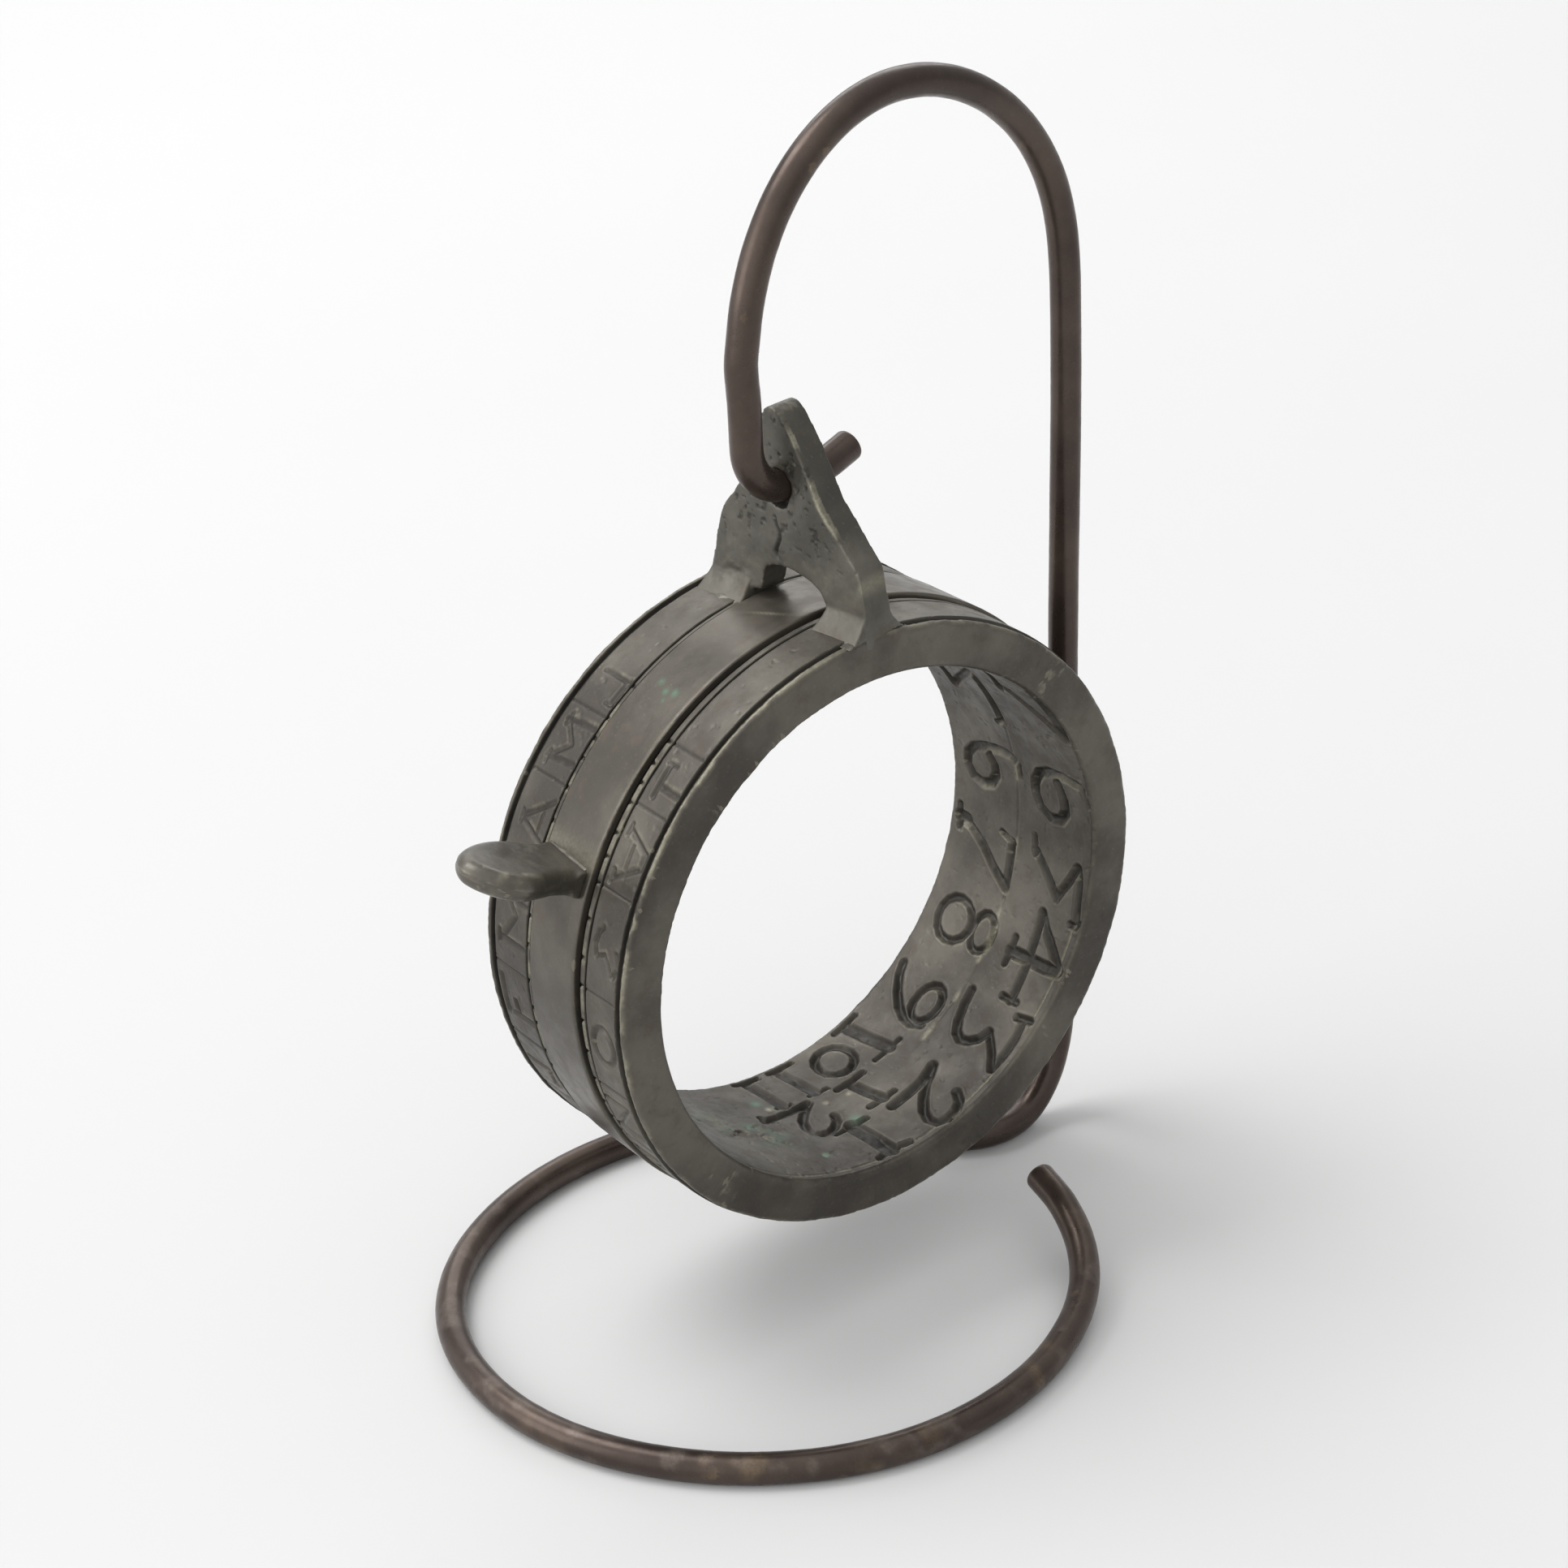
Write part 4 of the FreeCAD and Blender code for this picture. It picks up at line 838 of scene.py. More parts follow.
def drill(obj, y, sides=28):
    """Adds the cut of one pinhole; returns the cutter."""
    outwards, around = radial_axes(PINHOLE_ANGLE)
    verts = []
    for radius in (26.0, 29.0):
        for i in range(sides):
            turn = 2 * math.pi * i / sides
            verts.append(outwards * radius + np.array([0, y, 0]) +
                         around * math.cos(turn) * PINHOLE_R +
                         np.array([0, 1, 0]) * math.sin(turn) * PINHOLE_R)
    faces = tube_caps(2, sides) + tube_sides(2, sides)
    cutter = new_mesh("drill", np.array(verts), faces, shade=False)
    modifier = obj.modifiers.new("d", 'BOOLEAN')
    modifier.operation = 'DIFFERENCE'
    modifier.solver = 'EXACT'
    modifier.object = cutter
    return cutter


band = make_band()
cutters = [drill(band, y) for y in PINHOLE_YS]
depsgraph = bpy.context.evaluated_depsgraph_get()
drilled = bpy.data.meshes.new_from_object(
    band.evaluated_get(depsgraph), preserve_all_data_layers=True, depsgraph=depsgraph)
band.modifiers.clear()
undrilled = band.data
band.data = drilled
bpy.data.meshes.remove(undrilled)
for cutter in cutters:
    bpy.data.objects.remove(cutter)

# ------------------------------------------------------------------ yoke
# Outline of the slab (s, z): over the top from front foot to back foot, then back underneath
YOKE_OUT = [(-10.02, 26.2), (-9.98, 28.6), (-9.70, 30.6), (-9.25, 32.5), (-8.10, 33.9),
            (-6.45, 35.75), (-5.10, 37.3), (-4.10, 39.2), (-2.80, 41.5), (-1.75, 43.1),
            (-0.75, 44.3), (0.30, 44.7), (1.20, 44.0), (2.00, 42.6), (2.75, 40.8), (3.70, 38.1),
            (4.90, 36.3), (6.10, 34.9), (6.90, 33.1), (7.40, 30.9), (7.62, 28.9), (8.25, 27.8),
            (8.35, 26.2)]
YOKE_IN = [(3.16, 26.2), (3.16, 28.0), (2.15, 28.35), (1.80, 29.3), (1.55, 30.2), (0.85, 30.75),
           (-1.10, 31.0), (-3.30, 30.65), (-4.60, 30.05), (-5.35, 29.1), (-5.42, 27.9),
           (-5.42, 26.2)]
# Front edge where it is rubbed: z, and s at that height
RUBBED_Z = [26, 30.6, 32.5, 33.9, 35.75, 37.3, 39.2, 41.5, 43.6, 45.1]
RUBBED_S = [-9.98, -9.70, -9.25, -8.1, -6.45, -5.1, -4.1, -2.8, -1.75, -0.7]

# How metal runs in round a foot: depth sunk below the flange, narrowing at the top,
# steps upwards, and sharpness of the sweep
FOOT_SWEEP = dict(low=0.22, tuck=0.22, steps=14, power=2.4)
COLLAR_SWEEP = dict(low=0.30, tuck=0.05, steps=8, power=1.6)


def skirt(foot_s, rise_z, spread_t, spread_s, radius, low, tuck, steps, power):
    """Metal sweeping from a flange up onto the slab's sides.

    foot_s is the foot's extent in s; the spreads are how far the skirt reaches past each side."""
    verts = []
    for k in range(steps + 1):
        up = k / steps
        flare = (1 - up) ** power
        z = radius - low + (rise_z + low) * up
        t0 = SLAB_T[0] - spread_t[0] * flare + tuck * up
        t1 = SLAB_T[1] + spread_t[1] * flare - tuck * up
        s0 = foot_s[0] - spread_s[0] * flare + 0.25 * up
        s1 = foot_s[1] + spread_s[1] * flare - 0.25 * up
        for t, s in walk_loop([(t0, s0), (t1, s0), (t1, s1), (t0, s1)], 8):
            x = slab_point(t, s, 0)[0]
            drop = radius - math.sqrt(max(radius * radius - x ** 2, 1.0))
            verts.append(slab_point(t, s, z - drop))
    return np.array(verts), tube_sides(steps + 1, 32) + tube_caps(steps + 1, 32)


def eye_loop():
    """Round upper half that bears on the rod, shallower and narrower lower half."""
    points = []
    for k in range(25):
        turn = math.pi * k / 24
        points.append((EYE_S + 1.44 * math.cos(turn), EYE_Z + 1.44 * math.sin(turn)))
    for k in range(1, 24):
        turn = math.pi + math.pi * k / 24
        points.append((EYE_S + 0.05 + 1.02 * math.cos(turn),
                       EYE_Z - 1.15 + 0.75 * math.sin(turn)))
    return points


def yoke_crack(t, s, z, width):
    """A wavering crack up from the arch, in the -X side."""
    return (bump(s + 0.15 + 0.25 * np.sin(z * 2.1), width) *
            window(z, start=31.4, end=35.6, over=0.6) * (t < -1.0))


def yoke_push(v):
    t, s, z = v @ SLAB_T_DIR, v @ SLAB_S_DIR, v[:, 2]
    swell = 0.09 * fbm(v, freq=0.35, seed=71, octaves=2) + 0.022 * fbm(v, freq=1.6, seed=73)
    pitting = (-0.09 * mottle(v, freq=2.1, seed=75, start=0.22, over=0.2) *
               rise(z, start=31, over=3) * (t < -2.4))
    crease = (-0.22 * bump(s - 1.9 - 0.05 * (z - 38), 0.35) *
              window(z, start=37, end=44.5, over=2) * (t < -1.4))
    lumps = (0.16 * fbm(v, freq=0.8, seed=79) * rise(s, start=2.5, over=0.8) *
             fall(z, end=31.2, over=1.5))
    crack = -0.26 * yoke_crack(t, s, z, width=0.16)
    # leave the eye's bearing surface alone, and the feet nearly so
    off_eye = rise(np.hypot(s - EYE_S, z - EYE_Z), start=1.55, over=0.5)
    off_feet = np.maximum(rise(z, start=27.2, over=1.2), 0.15)
    return (swell + pitting + crease + crack + lumps) * off_eye * off_feet


def yoke_marks(v):
    t, s, z = v @ SLAB_T_DIR, v @ SLAB_S_DIR, v[:, 2]
    edge = bump(s - np.interp(z, RUBBED_Z, RUBBED_S) - 0.10, 0.22) * (t < -2.3)
    rubbed_and_glint = (edge * rise(z, start=33.5, over=2) *
              mottle(v, freq=0.6, seed=81, start=-0.45, over=0.5, octaves=2))
    shoulder = 0.55 * bump(s + 9.45, 0.3) * bump(z - 31.6, 0.7)
    crown = (0.45 * rise(z, start=43.9, over=0.7) *
             mottle(v, freq=2.0, seed=83, start=-0.1, over=0.5, octaves=2))
    pitting = (mottle(v, freq=2.1, seed=75, start=0.18, over=0.25) *
               rise(z, start=31, over=3) * (t < -2.3))
    arch = 0.35 * bump(z - 31.0, 1.0) * (t < -2)
    return {"deep": np.clip(yoke_crack(t, s, z, width=0.2) + 0.7 * pitting, 0, 1),
            "pale": arch * mottle(v, freq=0.9, seed=85, start=-0.3, octaves=2),
            "wear_and_glint": np.maximum(np.maximum(rubbed_and_glint, shoulder), crown)}


def make_yoke():
    outline = list(catmull(YOKE_OUT, 6)) + list(catmull(YOKE_IN, 6))
    loops = [[slab_point(SLAB_T[0], s, z) for s, z in loop] for loop in (outline, eye_loop())]
    body = join(
        prism(loops, SLAB_T_DIR * (SLAB_T[1] - SLAB_T[0])),
        skirt((-9.95, -5.42), rise_z=2.7, spread_t=(1.55, 1.45), spread_s=(0.10, 0.70),
              radius=FRONT_R, **FOOT_SWEEP),
        skirt((3.20, 8.05), rise_z=2.9, spread_t=(1.55, 1.25), spread_s=(0.00, 0.72),
              radius=BACK_R, **FOOT_SWEEP))
    return organic("hanger_yoke", body, voxel=0.115, iters=12, push=yoke_push, marks=yoke_marks)


def make_collar(name, seed, rough, **shape):
    """Low bead of run metal round a foot of the yoke."""
    def marks(v):
        return {"deep": 0.5 * mottle(v, freq=0.9, seed=seed + 3, start=-0.1),
                "pale": 0.2 * mottle(v, freq=1.4, seed=seed + 5, start=0.1, over=0.3)}
    return organic(name, skirt(**shape, **COLLAR_SWEEP), voxel=0.10, iters=9,
                   push=lambda v: rough * fbm(v, freq=1.1, seed=seed), marks=marks)


yoke = make_yoke()
front_collar = make_collar(
    "run_metal_front_foot", seed=91, rough=0.10, foot_s=(-9.80, -5.35), rise_z=0.62,
    spread_t=(2.15, 1.9), spread_s=(0.20, 0.62), radius=FRONT_R)
back_collar = make_collar(
    "run_metal_back_foot", seed=95, rough=0.16, foot_s=(3.20, 8.15), rise_z=0.80,
    spread_t=(2.1, 1.7), spread_s=(0.0, 0.50), radius=BACK_R)

# ------------------------------------------------------------------ tab
# Edge of the leaf: (out from the band, across from the root's front corner)
TAB_EDGE = [(0.9, 0.0), (2.6, -0.35), (4.4, -1.15), (6.7, -2.0), (8.8, -1.6), (10.3, -0.5),
            (11.15, 1.2), (10.75, 2.8), (9.6, 4.2), (7.9, 5.35), (6.2, 6.0), (4.65, 6.2),
            (2.4, 6.0), (0.9, 5.9)]
TAB_ROUNDING = 1.2          # how far in the edge's rounding reaches

tab_out, tab_round = radial_axes(TAB_ANGLE)
_twist = math.radians(TAB_TWIST)
tab_across = np.array([0, math.cos(_twist), 0]) - tab_round * math.sin(_twist)
tab_through = tab_round * math.cos(_twist) + np.array([0, math.sin(_twist), 0])
tab_edge = catmull(TAB_EDGE, 6)


def tab_point(out, across, through=0.0):
    return (tab_out * (BAND_OUT_R + out) + np.array([0, TAB_EDGE_Y, 0]) +
            tab_across * (across - TAB_MID) + np.array([0, TAB_MID, 0]) + tab_through * through)


def tab_push(v):
    return 0.05 * fbm(v, freq=0.4, seed=101) + 0.02 * fbm(v, freq=1.8, seed=103)


def tab_marks(v):
    local = v - tab_point(0, 0)
    out, across, through = local @ tab_out, local @ tab_across, local @ tab_through
    rim = (0.7 * bump(across + 0.9, 0.35) * window(out, start=4.5, end=10, over=2, over_end=1.5) *
           mottle(v, freq=1.2, seed=104, start=-0.3, over=0.5, octaves=2))
    streak = (0.45 * bump(through + 0.75, 0.18) * rise(out, start=5, over=2) *
              mottle(v, freq=1.6, seed=105, start=-0.1, over=0.4))
    return {"deep": 0.35 * mottle(v, freq=1.3, seed=107, start=0.1, octaves=2),
            "pale": 0.25 * mottle(v, freq=0.7, seed=109, start=0, octaves=2),
            "wear_and_glint": np.clip(rim + streak, 0, 1)}


def shape_leaf(me):
    """Thins the leaf to its tip, rounds its edge and hollows its upper side."""
    verts = vertices_mm(me)
    local = verts - tab_point(0, TAB_MID)
    out, through = local @ tab_out, local @ tab_through
    across = local @ tab_across + TAB_MID
    in_from_edge = np.clip((path_gap(out, across, tab_edge) + 0.05) / TAB_ROUNDING, 0, 1)
    rounding = np.sqrt(np.clip(1 - (1 - in_from_edge) ** 2, 0, 1))
    off_root = smooth(out / 1.5)
    thickness = (0.98 - 0.12 * smooth(out / 11.0)) * (rounding * off_root + (1 - off_root))
    hollow = 0.22 * bump(out - 4.6, 2.2) * bump(across - 3.2, 1.8) * (through < 0)
    verts = verts + hollow[:, None] * tab_through[None, :]
    verts = verts + (through * (thickness - 1))[:, None] * tab_through[None, :]
    me.vertices.foreach_set("co", frame_m(verts).ravel())
    me.update()


def make_tab_root():
    """Bead of run metal where the tab meets the band."""
    steps = 7
    verts = []
    for k in range(steps + 1):
        up = k / steps
        spread = 0.62 * (1 - up) ** 2.0 - 0.12 * up
        low, high = -0.95 - spread, 0.90 + 0.25 * spread
        corners = [(0.35, low), (5.85, low), (5.85, high), (0.35, high)]
        for across, through in walk_loop(corners, 10):
            # follow the band's roundness
            sag = through * through / (2 * BAND_OUT_R)
            verts.append(tab_point(-0.16 + 1.1 * up, across, through) - tab_out * sag)
    faces = tube_sides(steps + 1, 40) + tube_caps(steps + 1, 40)

    def marks(v):
        return {"deep": 0.3 * mottle(v, freq=0.9, seed=113, start=0, octaves=2),
                "pale": 0.3 * mottle(v, freq=0.8, seed=115, start=0, octaves=2)}
    return organic("run_metal_tab_root", (np.array(verts), faces), voxel=0.12, iters=3,
                   push=lambda v: 0.04 * fbm(v, freq=1.0, seed=111), marks=marks)


leaf_outline = [(-0.15, 0.05)] + [tuple(p) for p in tab_edge] + [(-0.15, 5.85)]
leaf_loop = [tab_point(out, across, -TAB_THICK / 2) for out, across in leaf_outline]
tab = organic("thumb_tab_leaf", prism([leaf_loop], tab_through * TAB_THICK),
              voxel=0.15, iters=16, push=tab_push, marks=tab_marks)
shape_leaf(tab.data)
tab_root = make_tab_root()

# ------------------------------------------------------------------ rod
# Centre line: the free end (x, y, z), the foot loop (x, y) on the floor, then the post (x, y, z)
ROD_FREE_END = [
    (16.45, -10.30, -32.02), (15.71, -14.40, -32.75), (14.32, -18.21, -33.97),
    (11.95, -21.57, -34.95), (8.76, -24.31, -35.52), (5.09, -26.42, -35.81),
]
FOOT_Z = -36.0
ROD_FOOT = [
    (1.15, -27.96), (-2.98, -28.93), (-7.21, -29.30), (-11.44, -29.05), (-15.59, -28.15),
    (-19.54, -26.61), (-23.23, -24.51), (-26.59, -21.92), (-29.57, -18.91), (-32.13, -15.52),
    (-34.20, -11.82), (-35.70, -7.85), (-36.56, -3.70), (-36.73, 0.54), (-36.22, 4.75),
    (-35.01, 8.81), (-33.06, 12.57), (-30.42, 15.89), (-27.23, 18.68), (-23.63, 20.93),
    (-19.74, 22.62), (-15.65, 23.73), (-11.44, 24.23), (-7.20, 24.12), (-3.01, 23.44),
    (1.04, 22.19), (4.86, 20.33), (8.27, 17.82), (11.12, 14.68), (13.52, 11.18), (15.79, 7.59),
    (18.37, 4.23), (22.11, 2.40),
]
ROD_POST = [
    (26.28, 2.70, -35.63), (29.51, 3.27, -33.03), (31.11, 3.55, -29.15), (31.51, 3.61, -24.93),
    (31.68, 3.64, -20.68), (31.79, 3.66, -16.44), (31.86, 3.67, -12.19), (31.90, 3.68, -7.95),
    (31.91, 3.69, -3.70), (31.92, 3.69, 0.54), (31.92, 3.70, 4.79), (31.93, 3.70, 9.03),
    (31.96, 3.71, 13.28), (32.02, 3.72, 17.52), (32.10, 3.73, 21.77), (32.19, 3.74, 26.01),
    (32.26, 3.75, 30.26), (32.32, 3.75, 34.50), (32.34, 3.75, 38.75), (32.30, 3.75, 42.99),
    (32.19, 3.74, 47.23), (31.69, 3.67, 51.45), (30.42, 3.50, 55.49), (28.30, 3.23, 59.14),
    (25.44, 2.85, 62.24), (22.02, 2.40, 64.71), (18.20, 1.90, 66.48), (14.11, 1.36, 67.45),
    (9.91, 0.80, 67.48), (5.84, 0.27, 66.46), (2.13, -0.22, 64.47), (-1.01, -0.63, 61.66),
    (-3.44, -0.95, 58.20), (-5.09, -1.17, 54.30), (-6.00, -1.29, 50.16),
]
# Hook through the eye, in the slab's t and z
BEND_R = 4.2
BEND_T = -1.90
LEG_TOP_Z = 45.93
EYE_RUN = 2.2               # straight length through the eye
TIP_T, TIP_Z = 5.60, 39.24
TIP_DIR = SLAB_T_DIR * 0.956 + UP * 0.292
# Rounding of the rod's ends: (distance in from the end, radius)
ROD_END = [(0.0, 0.35), (0.0, 0.75), (0.0, 1.06), (0.03, 1.20), (0.10, 1.29), (0.22, 1.345)]
ROD_SIDES = 36
ROD_STEP = 0.30


def rod_line():
    path = [np.array(p) for p in
            ROD_FREE_END + [(x, y, FOOT_Z) for x, y in ROD_FOOT] + ROD_POST]
    heading = path[-1] - path[-2]
    heading /= np.linalg.norm(heading)
    leg_t, leg_end_z = BEND_T - BEND_R, EYE_Z + BEND_R
    hook = hermite(path[-1], heading, slab_point(leg_t, EYE_S, LEG_TOP_Z), -UP, 14)
    for k in range(1, 6):
        hook.append(slab_point(leg_t, EYE_S, LEG_TOP_Z + (leg_end_z - LEG_TOP_Z) * k / 5))
    for k in range(1, 17):
        turn = math.pi / 2 * k / 16
        hook.append(slab_point(BEND_T - BEND_R * math.cos(turn), EYE_S,
                               leg_end_z - BEND_R * math.sin(turn)))
    for k in range(1, 6):
        hook.append(slab_point(BEND_T + EYE_RUN * k / 5, EYE_S, EYE_Z))
    hook += hermite(slab_point(BEND_T + EYE_RUN, EYE_S, EYE_Z), SLAB_T_DIR,
                    slab_point(TIP_T, EYE_S, TIP_Z), TIP_DIR, 16)
    return np.vstack([catmull(path, 12), np.array(hook)])


def resample(line, step):
    """Even spacing, then two rounds of softening."""
    length = np.r_[0, np.cumsum(np.linalg.norm(np.diff(line, axis=0), axis=1))]
    stations = np.linspace(0, length[-1], int(length[-1] / step) + 1)
    even = np.stack([np.interp(stations, length, line[:, k]) for k in range(3)], 1)
    for _ in range(2):
        even[1:-1] = 0.25 * even[:-2] + 0.5 * even[1:-1] + 0.25 * even[2:]
    return even


def make_rod():
    centre = resample(rod_line(), ROD_STEP)
    tangent = np.gradient(centre, axis=0)
    tangent /= np.linalg.norm(tangent, axis=1)[:, None]
    # carry one side vector along the rod without twist
    side = np.zeros_like(centre)
    first = np.cross(tangent[0], UP)
    side[0] = first / np.linalg.norm(first)
    for i in range(1, len(centre)):
        carried = side[i - 1] - tangent[i] * (side[i - 1] @ tangent[i])
        side[i] = carried / np.linalg.norm(carried)
    other = np.cross(tangent, side)
    turn = np.arange(ROD_SIDES) * 2 * math.pi / ROD_SIDES

    def circle(i, radius, shift=0.0):
        return (centre[i] + tangent[i] * shift)[None, :] + radius * (
            np.cos(turn)[:, None] * side[i][None, :] + np.sin(turn)[:, None] * other[i][None, :])

    rows = [circle(0, radius, shift) for shift, radius in ROD_END]
    rows += [circle(i, ROD_R) for i in range(1, len(centre) - 1)]
    rows += [circle(-1, radius, -shift) for shift, radius in reversed(ROD_END)]
    rows = np.array(rows)
    outwards = rows - rows.mean(axis=1, keepdims=True)
    outwards = (outwards / np.linalg.norm(outwards, axis=2, keepdims=True)).reshape(-1, 3)
    verts = rows.reshape(-1, 3)

    uneven = 0.020 * fbm(verts, freq=0.25, seed=121) + 0.008 * fbm(verts, freq=2.2, seed=123,
                                                                   octaves=2)
    # even and slightly slimmer where the rod passes through the eye
    in_eye = ((np.abs(verts @ SLAB_T_DIR - sum(SLAB_T) / 2) < 2.2) &
              (np.abs(verts[:, 2] - EYE_Z) < 2.2))
    verts = verts + outwards * np.where(in_eye, -0.01, uneven)[:, None]
    verts[:, 2] = np.maximum(verts[:, 2], -RING_CENTRE[2])      # not below the floor

    foot = fall(verts[:, 2], end=-20, over=10)
    rod = new_mesh(
        "bent_rod", verts,
        tube_sides(len(rows), ROD_SIDES) + tube_caps(len(rows), ROD_SIDES), {
            "pale": 0.35 * mottle(verts, freq=0.5, seed=127, start=0.15, over=0.3) * foot,
            "wear_and_glint": 0.55 * mottle(verts, freq=0.35, seed=125, start=0.12, over=0.4) * foot *
                    fall(verts[:, 1], end=0.2, over=15.0)})
    face_outwards(rod)
    return rod


rod = make_rod()


# ------------------------------------------------------------------ materials
def linear(srgb):
    """Linear RGBA from sRGB 0..255."""
    return [(c / 255.0 / 12.92) if c / 255.0 <= 0.04045 else ((c / 255.0 + 0.055) / 1.055) ** 2.4
            for c in srgb] + [1.0]


def add_node(tree, kind, inputs=None, **settings):
    """A node with its settings; each input gets a value or a link."""
    node = tree.nodes.new(kind)
    for key, value in settings.items():
        setattr(node, key, value)
    for key, value in (inputs or {}).items():
        if isinstance(value, bpy.types.NodeSocket):
            tree.links.new(value, node.inputs[key])
        else:
            node.inputs[key].default_value = value
    return node


def patina(name, dark, light, tint, metal=0.62, rough=(0.40, 0.58), bump_strength=0.25,
           wear_and_glint_colour=(146, 142, 124), pale_colour=(150, 146, 128)):
    """Mottled metal, tinted by the four marks; colours are sRGB 0..255."""
    material = bpy.data.materials.new(name)
    material.use_nodes = True
    tree = material.node_tree
    tree.nodes.clear()
    coords = add_node(tree, "ShaderNodeTexCoord").outputs["Object"]

    def noise(scale, detail, roughness, offset=0.0):
        moved = add_node(tree, "ShaderNodeMapping", {
            "Vector": coords, "Location": (offset, offset * 0.7, offset * 1.3)})
        return add_node(tree, "ShaderNodeTexNoise", {
            "Vector": moved.outputs[0], "Scale": scale, "Detail": detail,
            "Roughness": roughness}).outputs["Fac"]

    def ramp(source, start, end, low=0.0, high=1.0):
        return add_node(tree, "ShaderNodeMapRange", {
            "Value": source, "From Min": start, "From Max": end, "To Min": low,
            "To Max": high}, interpolation_type='SMOOTHSTEP').outputs[0]

    def mix(factor, below, above):
        return add_node(tree, "ShaderNodeMix", {0: factor, 6: below, 7: above},
                        data_type='RGBA').outputs[2]

    def mark(key):
        return add_node(tree, "ShaderNodeAttribute", attribute_name=key).outputs["Fac"]

    def calc(operation, *values, clamp=True):
        return add_node(tree, "ShaderNodeMath", dict(enumerate(values)), operation=operation,
                        use_clamp=clamp).outputs[0]

    big = noise(scale=90, detail=5, roughness=0.55)
    mid = noise(scale=520, detail=7, roughness=0.62, offset=3.1)
    grain = noise(scale=3200, detail=5, roughness=0.7, offset=7.7)
    colour = mix(ramp(big, start=0.35, end=0.68), linear(dark), linear(light))
    colour = mix(ramp(mid, start=0.52, end=0.75, high=0.55), colour, linear(tint))
    colour = mix(ramp(grain, start=0.55, end=0.80, high=0.30), colour,
                 linear([c * 1.35 for c in light]))
    # convex edges rubbed pale, besides the marked wear and painted glint
    pointiness = add_node(tree, "ShaderNodeNewGeometry").outputs["Pointiness"]
    convex = ramp(pointiness, start=0.515, end=0.60, high=0.65)
    worn_and_glint = calc('MAXIMUM', mark("wear_and_glint"),
                calc('MULTIPLY', convex, ramp(mid, start=0.40, end=0.62)))
    colour = mix(calc('MULTIPLY', mark("deep"), 0.72), colour, linear([c * 0.42 for c in dark]))
    colour = mix(calc('MULTIPLY', mark("pale"), ramp(grain, start=0.30, end=0.62, low=0.45)),
                 colour, linear(pale_colour))
    colour = mix(calc('MULTIPLY', worn_and_glint, ramp(grain, start=0.25, end=0.60, low=0.35, high=0.85)),
                 colour, linear(wear_and_glint_colour))
    colour = mix(calc('MULTIPLY', mark("verd"), ramp(mid, start=0.30, end=0.55, low=0.3)),
                 colour, linear((82, 112, 92)))
    base_rough = ramp(mid, start=0.35, end=0.70, low=rough[0], high=rough[1])
    # pale marks, deposit and painted highlight alike, are rougher
    roughness = calc('MULTIPLY_ADD', mark("pale"), 0.25, base_rough, clamp=False)
    relief = add_node(tree, "ShaderNodeBump", {
        "Strength": bump_strength, "Distance": 0.00006,
        "Height": calc('ADD', mid, grain, clamp=False)})
    shader = add_node(tree, "ShaderNodeBsdfPrincipled", {
        "Base Color": colour, "Metallic": metal, "Specular IOR Level": 0.5,
        "Roughness": roughness, "Normal": relief.outputs[0]})
    add_node(tree, "ShaderNodeOutputMaterial", {0: shader.outputs[0]})
    return material


ring_bronze = patina("ring_patina", dark=(66, 62, 57), light=(98, 94, 86), tint=(84, 74, 66))
yoke_bronze = patina("yoke_patina", dark=(72, 70, 64), light=(102, 99, 91), tint=(88, 79, 70))
band_bronze = patina("band_patina", dark=(72, 68, 62), light=(96, 91, 83), tint=(90, 77, 68),
                     rough=(0.30, 0.44), bump_strength=0.14)
tab_bronze = patina("tab_patina", dark=(74, 71, 65), light=(106, 102, 94), tint=(92, 81, 72),
                    rough=(0.30, 0.46))
# a spare; the beads wear the yoke's and the tab's
patina("run_metal_patina", dark=(64, 63, 57), light=(84, 82, 75), tint=(78, 72, 63))
rod_brass = patina("rod_patina", dark=(64, 54, 49), light=(82, 71, 64), tint=(72, 59, 52),
                   metal=0.68, rough=(0.27, 0.40), bump_strength=0.10,
                   wear_and_glint_colour=(116, 100, 80), pale_colour=(118, 108, 101))

# object, material, body it rides, slot, CAD piece it replaces
for obj, material, body, slot, piece in [
        (ring, ring_bronze, "dial", "ring_bronze", "dial_ring"),
        (yoke, yoke_bronze, "dial", "yoke_bronze", "suspension_yoke"),
        (front_collar, yoke_bronze, "dial", "braze_metal", "braze_front_foot"),
        (back_collar, yoke_bronze, "dial", "braze_metal", "braze_back_foot"),
        (band, band_bronze, "slider", "band_bronze", "slider_band"),
        (tab, tab_bronze, "slider", "tab_bronze", "thumb_tab"),
        (tab_root, tab_bronze, "slider", "braze_metal", "braze_tab_root"),
        (rod, rod_brass, "stand", "rod_brass", "stand_rod")]:
    obj.data.materials.clear()
    obj.data.materials.append(material)
    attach(obj, body)
    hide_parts(piece)

# ------------------------------------------------------------------ stage (metres)
CAMERA_AZIMUTH, CAMERA_RISE, CAMERA_ROLL = [math.radians(a) for a in (-36.04, 27.044, -2.614)]
CAMERA_DISTANCE = 269.288                               # mm
CAMERA_TARGET = np.array([-1.2264, 2.2442, 9.4473])     # mm about the ring's centre


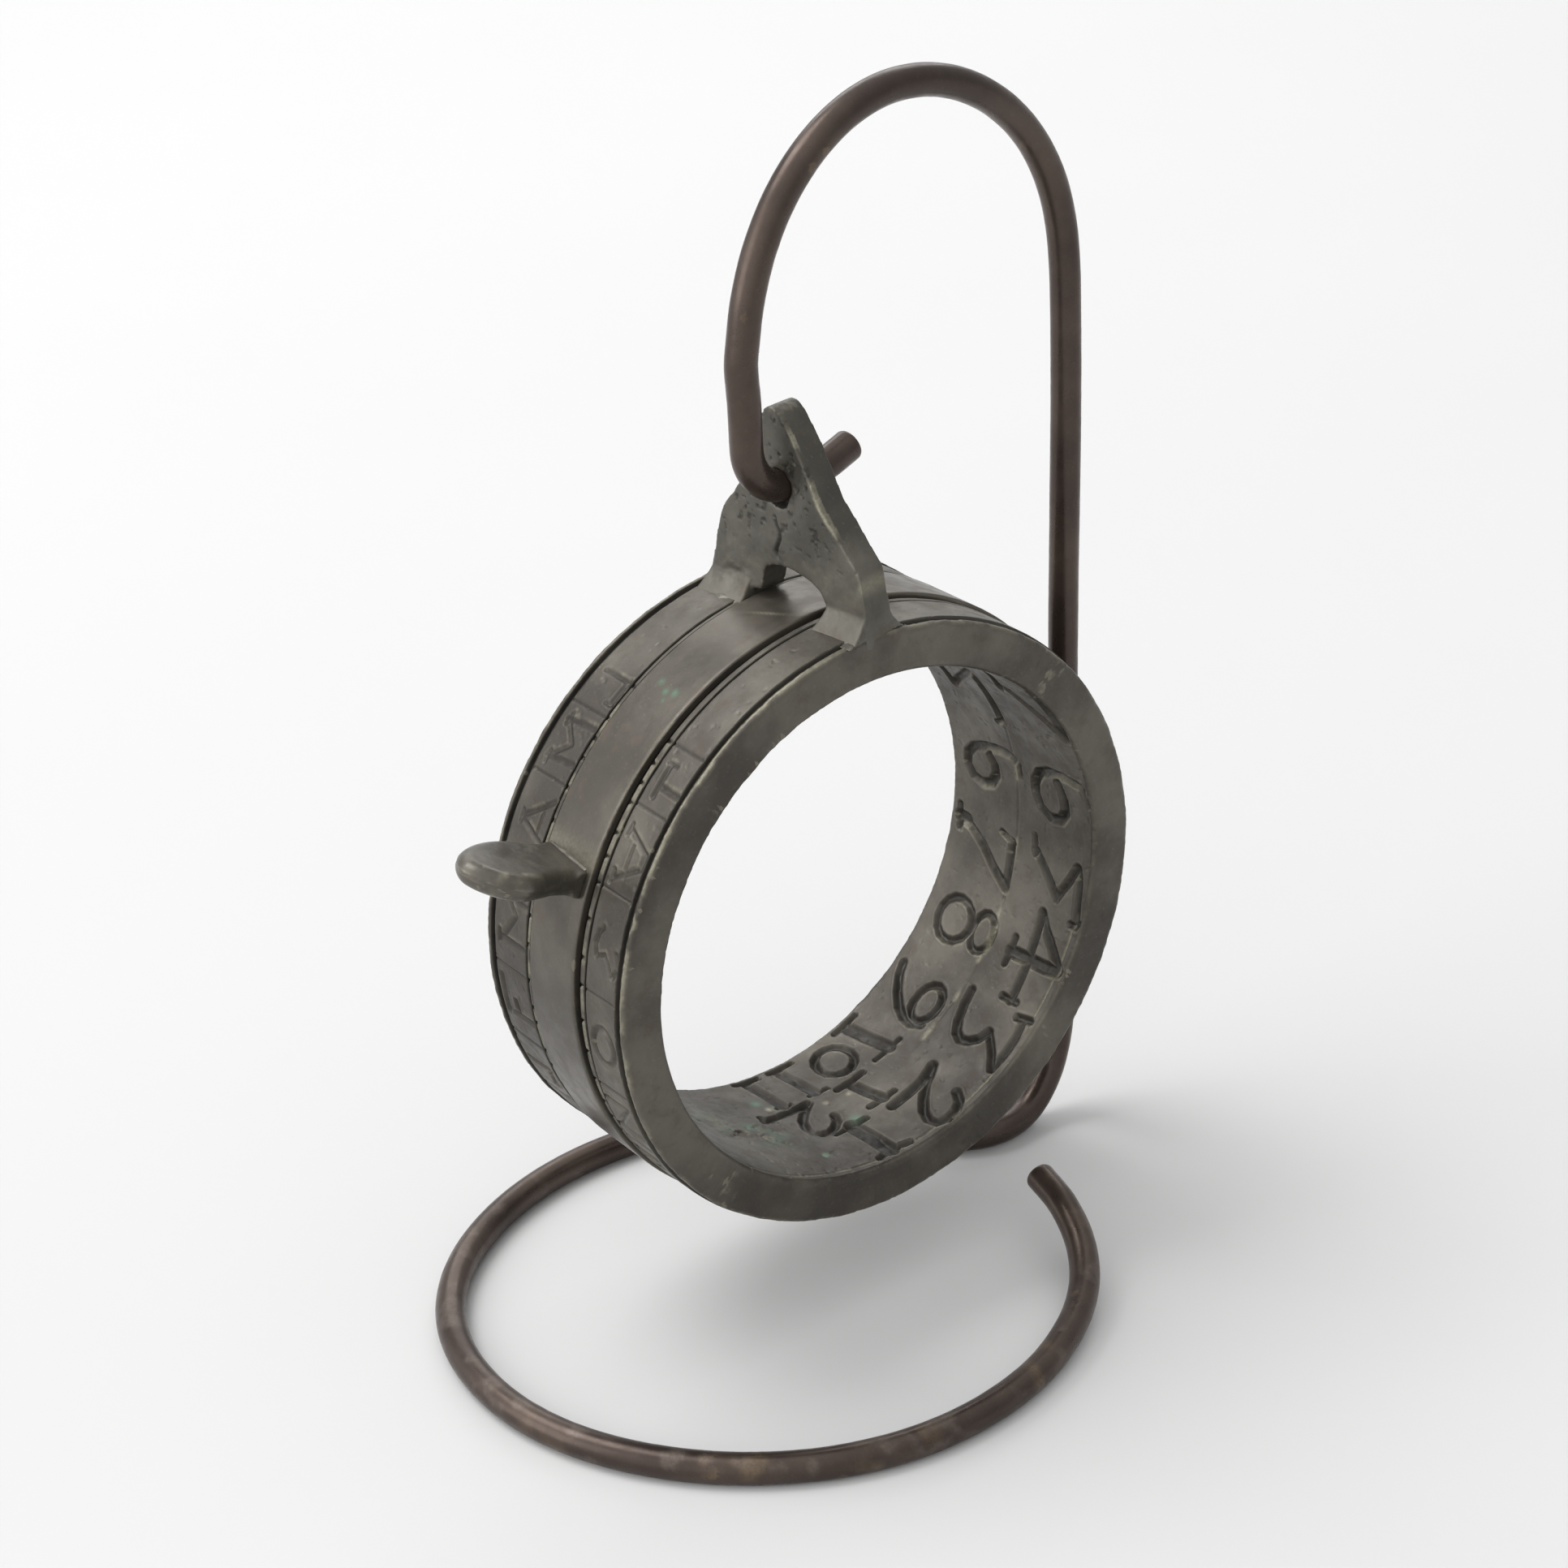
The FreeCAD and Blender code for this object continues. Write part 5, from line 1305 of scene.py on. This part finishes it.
def paper_material():
    material = bpy.data.materials.new("studio_paper")
    material.use_nodes = True
    tree = material.node_tree
    noise = add_node(tree, "ShaderNodeTexNoise", {"Scale": 60})
    grey = add_node(tree, "ShaderNodeMapRange", {
        "Value": noise.outputs["Fac"], "To Min": 0.575, "To Max": 0.590}).outputs[0]
    colour = add_node(tree, "ShaderNodeCombineColor", {0: grey, 1: grey, 2: grey})
    shader = tree.nodes["Principled BSDF"]
    shader.inputs["Roughness"].default_value = 0.9
    shader.inputs["Specular IOR Level"].default_value = 0.1
    tree.links.new(colour.outputs[0], shader.inputs["Base Color"])
    return material


def make_floor():
    """Floor facing the camera, with a sweep rising behind."""
    paper = paper_material()
    to_camera = np.array([math.sin(CAMERA_AZIMUTH), -math.cos(CAMERA_AZIMUTH), 0])
    sideways = np.array([-to_camera[1], to_camera[0], 0])
    # (distance towards the camera, height)
    section = [(1.6, 0), (0.8, 0), (0.3, 0), (-0.3, 0), (-0.9, 0)]
    for k in range(1, 13):
        turn = math.pi / 2 * k / 12
        section.append((-0.9 - 0.7 * math.sin(turn), 0.7 - 0.7 * math.cos(turn)))
    section.append((-1.6, 2.2))
    verts = [tuple(to_camera * a + sideways * half + np.array([0, 0, z - 0.00002]))
             for a, z in section for half in (-2.5, 2.5)]
    faces = [(2 * i, 2 * i + 1, 2 * i + 3, 2 * i + 2) for i in range(len(section) - 1)]
    me = bpy.data.meshes.new("studio_floor")
    me.from_pydata(verts, [], faces)
    me.polygons.foreach_set("use_smooth", np.ones(len(me.polygons), dtype=bool))
    floor = bpy.data.objects.new("studio_floor", me)
    bpy.context.scene.collection.objects.link(floor)
    me.materials.append(paper)


def make_world():
    """White surroundings, brighter towards -X, +Y and up."""
    world = bpy.data.worlds.new("studio_world")
    bpy.context.scene.world = world
    world.use_nodes = True
    tree = world.node_tree
    coords = add_node(tree, "ShaderNodeTexCoord").outputs["Generated"]
    facing = add_node(tree, "ShaderNodeVectorMath", {0: coords, 1: (-0.70, 0.42, 0.58)},
                      operation='DOT_PRODUCT').outputs["Value"]
    strength = add_node(tree, "ShaderNodeMapRange", {
        "Value": facing, "From Min": -0.7, "From Max": 0.95, "To Min": 0.50,
        "To Max": 1.40}, interpolation_type='SMOOTHSTEP')
    background = tree.nodes["Background"]
    background.inputs[0].default_value = (1.0, 1.0, 1.0, 1)
    tree.links.new(strength.outputs[0], background.inputs[1])


def placement(right, up, back, position):
    """Matrix of a light or camera that looks along -back."""
    rows = [(right[k], up[k], back[k], position[k]) for k in range(3)]
    return Matrix(rows + [(0, 0, 0, 1)])


def softbox(name, position, target, size, power):
    light = bpy.data.lights.new(name, 'AREA')
    light.shape = 'RECTANGLE'
    light.size, light.size_y = size
    light.energy = power
    light.color = (1, 1, 1)
    obj = bpy.data.objects.new(name, light)
    bpy.context.scene.collection.objects.link(obj)
    aim = np.array(target, float) - np.array(position, float)
    aim /= np.linalg.norm(aim)
    right = np.cross(aim, UP)
    right /= np.linalg.norm(right)
    obj.matrix_world = placement(right, np.cross(right, aim), -aim, position)


def make_camera():
    back = np.array([math.sin(CAMERA_AZIMUTH) * math.cos(CAMERA_RISE),
                     -math.cos(CAMERA_AZIMUTH) * math.cos(CAMERA_RISE), math.sin(CAMERA_RISE)])
    level = np.cross(UP, back)
    level /= np.linalg.norm(level)
    upright = np.cross(back, level)
    right = math.cos(CAMERA_ROLL) * level + math.sin(CAMERA_ROLL) * upright
    up = -math.sin(CAMERA_ROLL) * level + math.cos(CAMERA_ROLL) * upright
    lens = bpy.data.cameras.new("photo_view")
    lens.sensor_width = 36.0
    lens.lens = 72.270317
    lens.clip_start = 0.01
    camera = bpy.data.objects.new("photo_view", lens)
    bpy.context.scene.collection.objects.link(camera)
    camera.matrix_world = placement(right, up, back,
                                    frame_m(back * CAMERA_DISTANCE + CAMERA_TARGET))
    bpy.context.scene.camera = camera


make_floor()
make_world()
softbox("key_box", position=(-0.25, 0.40, 0.88), target=(0, 0, 0.03), size=(0.50, 0.50), power=4.0)
softbox("left_box", position=(-0.95, 0.30, 0.50), target=(0, 0, 0.05), size=(0.7, 0.7), power=3.0)
softbox("back_box", position=(0.45, 0.62, 0.50), target=(0, 0, 0.05), size=(0.75, 0.35), power=1.9)
make_camera()
bpy.context.scene.view_settings.view_transform = 'Standard'
bpy.context.scene.view_settings.look = 'None'

bpy.context.view_layer.update()
